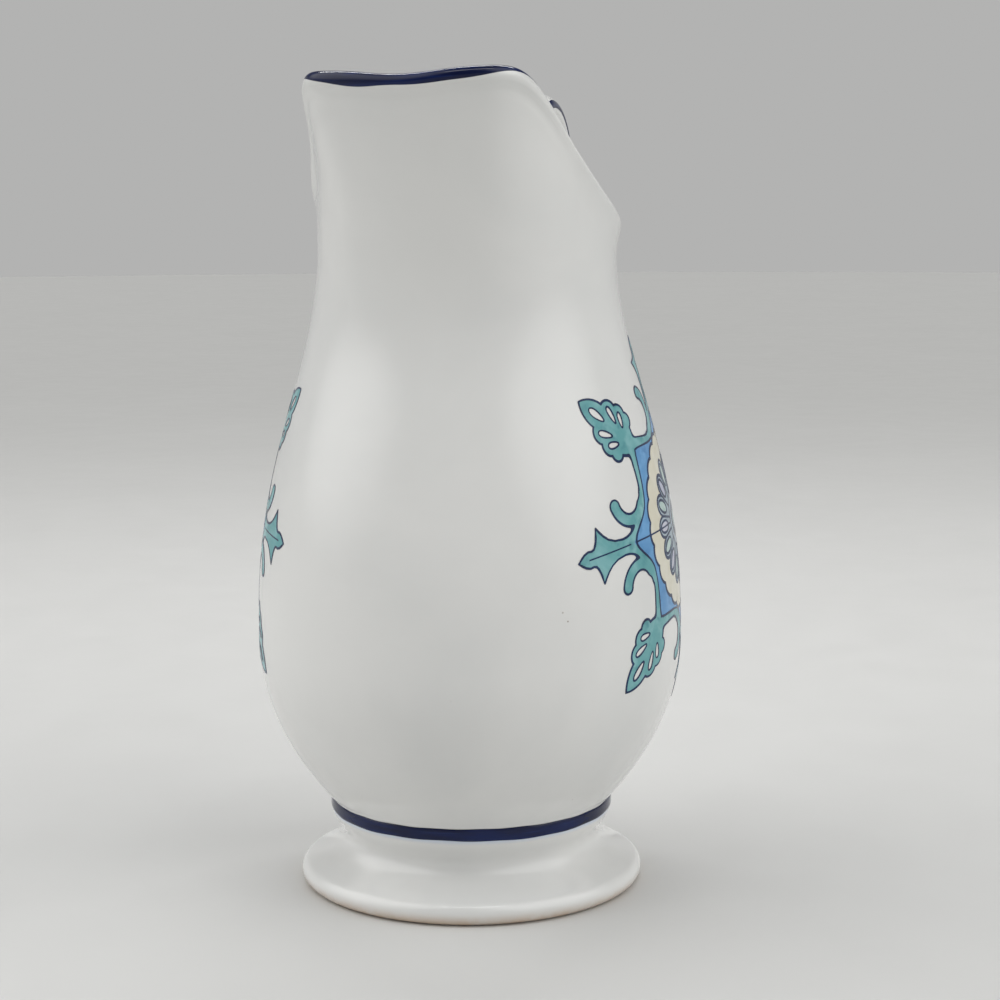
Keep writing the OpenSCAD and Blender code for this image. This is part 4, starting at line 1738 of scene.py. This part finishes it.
@dataclass(frozen=True)
class Studio:
    """Camera, lamps, world and floor, in metres and degrees."""

    distance: float = 0.8
    camera_height: float = 0.2605
    around: float = 16.66
    pitch: float = 8.244
    yaw: float = -0.827
    roll: float = -0.279
    focal_pixels: float = 2148.8
    image_pixels: float = 1000.0
    sensor: float = 36.0
    near_clip: float = 0.01
    lamps: tuple[Lamp, ...] = (
        Lamp("overhead", (0.10, -0.32, 1.3), (0.6, 0.10), 1.6),
        Lamp("behind", (-0.17, 0.60, 1.05), (0.95, 0.07), 4.6),
    )
    sky: tuple[SkyField, ...] = (
        SkyField((-0.70, -0.24, 0.64), 45.0, 14.0, 1.75),
        SkyField((0.73, -0.12, 0.64), 45.0, 14.0, 1.7),
        SkyField((0.0, 0.0, -1.0), 114.0, 97.0, 0.32),
    )
    sky_ground: float = 0.13
    sky_colour: Colour = (1.0, 1.0, 0.99)
    floor_radius: float = 6.0
    floor_sides: int = 96
    floor_dark: Colour = (0.60, 0.60, 0.59)
    floor_pale: Colour = (0.63, 0.63, 0.62)

    def camera(self) -> None:
        """Place the camera at the photograph's viewing angle."""
        around, pitch, roll = (math.radians(value) for value in (self.around, self.pitch, self.roll))
        base = math.atan2(math.cos(around), -math.sin(around)) + math.radians(self.yaw)
        look = Vector((math.cos(base) * math.cos(pitch), math.sin(base) * math.cos(pitch), -math.sin(pitch)))
        side = Vector((math.sin(base), -math.cos(base), 0.0))
        up = side.cross(look)
        right = side * math.cos(roll) + up * math.sin(roll)
        top = up * math.cos(roll) - side * math.sin(roll)
        data = bpy.data.cameras.new("view")
        data.sensor_fit = "HORIZONTAL"
        data.sensor_width = self.sensor
        data.lens = self.focal_pixels / self.image_pixels * self.sensor
        data.clip_start = self.near_clip
        camera = bpy.data.objects.new("view", data)
        turn = Matrix((right, top, -look)).transposed().to_4x4()
        place = (self.distance * math.sin(around), -self.distance * math.cos(around), self.camera_height)
        camera.matrix_world = Matrix.Translation(place) @ turn
        bpy.context.scene.collection.objects.link(camera)
        bpy.context.scene.camera = camera

    def world(self) -> None:
        """Light the scene from the world: soft fields on both sides and below, over an even background."""
        world = bpy.data.worlds.new("studio")
        bpy.context.scene.world = world
        world.use_nodes = True
        tree = world.node_tree
        tree.nodes.clear()
        output = tree.nodes.new("ShaderNodeOutputWorld")
        ground = tree.nodes.new("ShaderNodeBackground")
        way = tree.nodes.new("ShaderNodeTexCoord").outputs["Generated"]
        level: bpy.types.NodeSocket | None = None
        for bright in self.sky:
            aim = tree.nodes.new("ShaderNodeVectorMath")
            aim.operation = "DOT_PRODUCT"
            aim.inputs[1].default_value = Vector(bright.towards).normalized()
            tree.links.new(way, aim.inputs[0])
            soft = tree.nodes.new("ShaderNodeMapRange")
            soft.interpolation_type = "SMOOTHSTEP"
            outer, inner = (math.cos(math.radians(edge)) for edge in (bright.outer, bright.inner))
            limits = (outer, inner, 0.0, bright.strength)
            for name, number in zip(("From Min", "From Max", "To Min", "To Max"), limits):
                soft.inputs[name].default_value = number
            tree.links.new(aim.outputs["Value"], soft.inputs["Value"])
            total = tree.nodes.new("ShaderNodeMath")
            total.inputs[1].default_value = self.sky_ground
            tree.links.new(soft.outputs["Result"], total.inputs[0])
            if level is not None:
                tree.links.new(level, total.inputs[1])
            level = total.outputs[0]
        ground.inputs["Color"].default_value = (*self.sky_colour, 1.0)
        tree.links.new(level, ground.inputs["Strength"])
        tree.links.new(ground.outputs[0], output.inputs["Surface"])

    def floor(self) -> None:
        """Lay a plain pale floor."""
        mesh = bpy.data.meshes.new("floor")
        turns = np.linspace(0, 2 * math.pi, self.floor_sides, endpoint=False)
        ring = [(self.floor_radius * math.cos(t), self.floor_radius * math.sin(t), 0.0) for t in turns]
        mesh.from_pydata(ring, [], [list(range(self.floor_sides))])
        graph = Graph("floor")
        colour = graph.blend(graph.noise(6.0, 2.0), self.floor_dark, self.floor_pale)
        roughness = graph.span(graph.noise(30.0, 2.0), 0.3, 0.7, 0.55, 0.65)
        mesh.materials.append(graph.finish(colour, roughness, graph.bump(graph.noise(900.0), 0.00002)))
        floor = bpy.data.objects.new("floor", mesh)
        bpy.context.scene.collection.objects.link(floor)

    def build(self) -> None:
        """Set up the whole studio."""
        bpy.context.scene.view_settings.view_transform = "Standard"
        self.camera()
        for lamp in self.lamps:
            lamp.build()
        self.world()
        self.floor()


def main() -> None:
    """Build the ewer piece by piece, then the studio."""
    logging.basicConfig(level=logging.INFO, format="%(name)s: %(message)s")
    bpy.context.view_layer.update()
    shape = VesselShape()
    glaze = Glaze("off_white_glaze").build()
    foot_glaze = Glaze("foot_glaze", bare_height=0.0058, haze_height=0.0285).build()
    cobalt = Cobalt("cobalt_line").build()
    palette = Palette.mix()
    Vessel(shape).build(glaze)
    RimLine(shape).build(cobalt)
    foot = Foot(shape)
    foot.build(foot_glaze)
    foot.band(cobalt)
    slip_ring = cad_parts["foot_slip"]
    slip_ring.data.materials.clear()
    slip_ring.data.materials.append(glaze)
    handle = Handle(shape)
    handle.build(glaze)
    handle.joints(glaze)
    handle.lines(cobalt)
    Medallion(shape).build(palette)
    Studio().build()


if __name__ == "__main__":
    main()
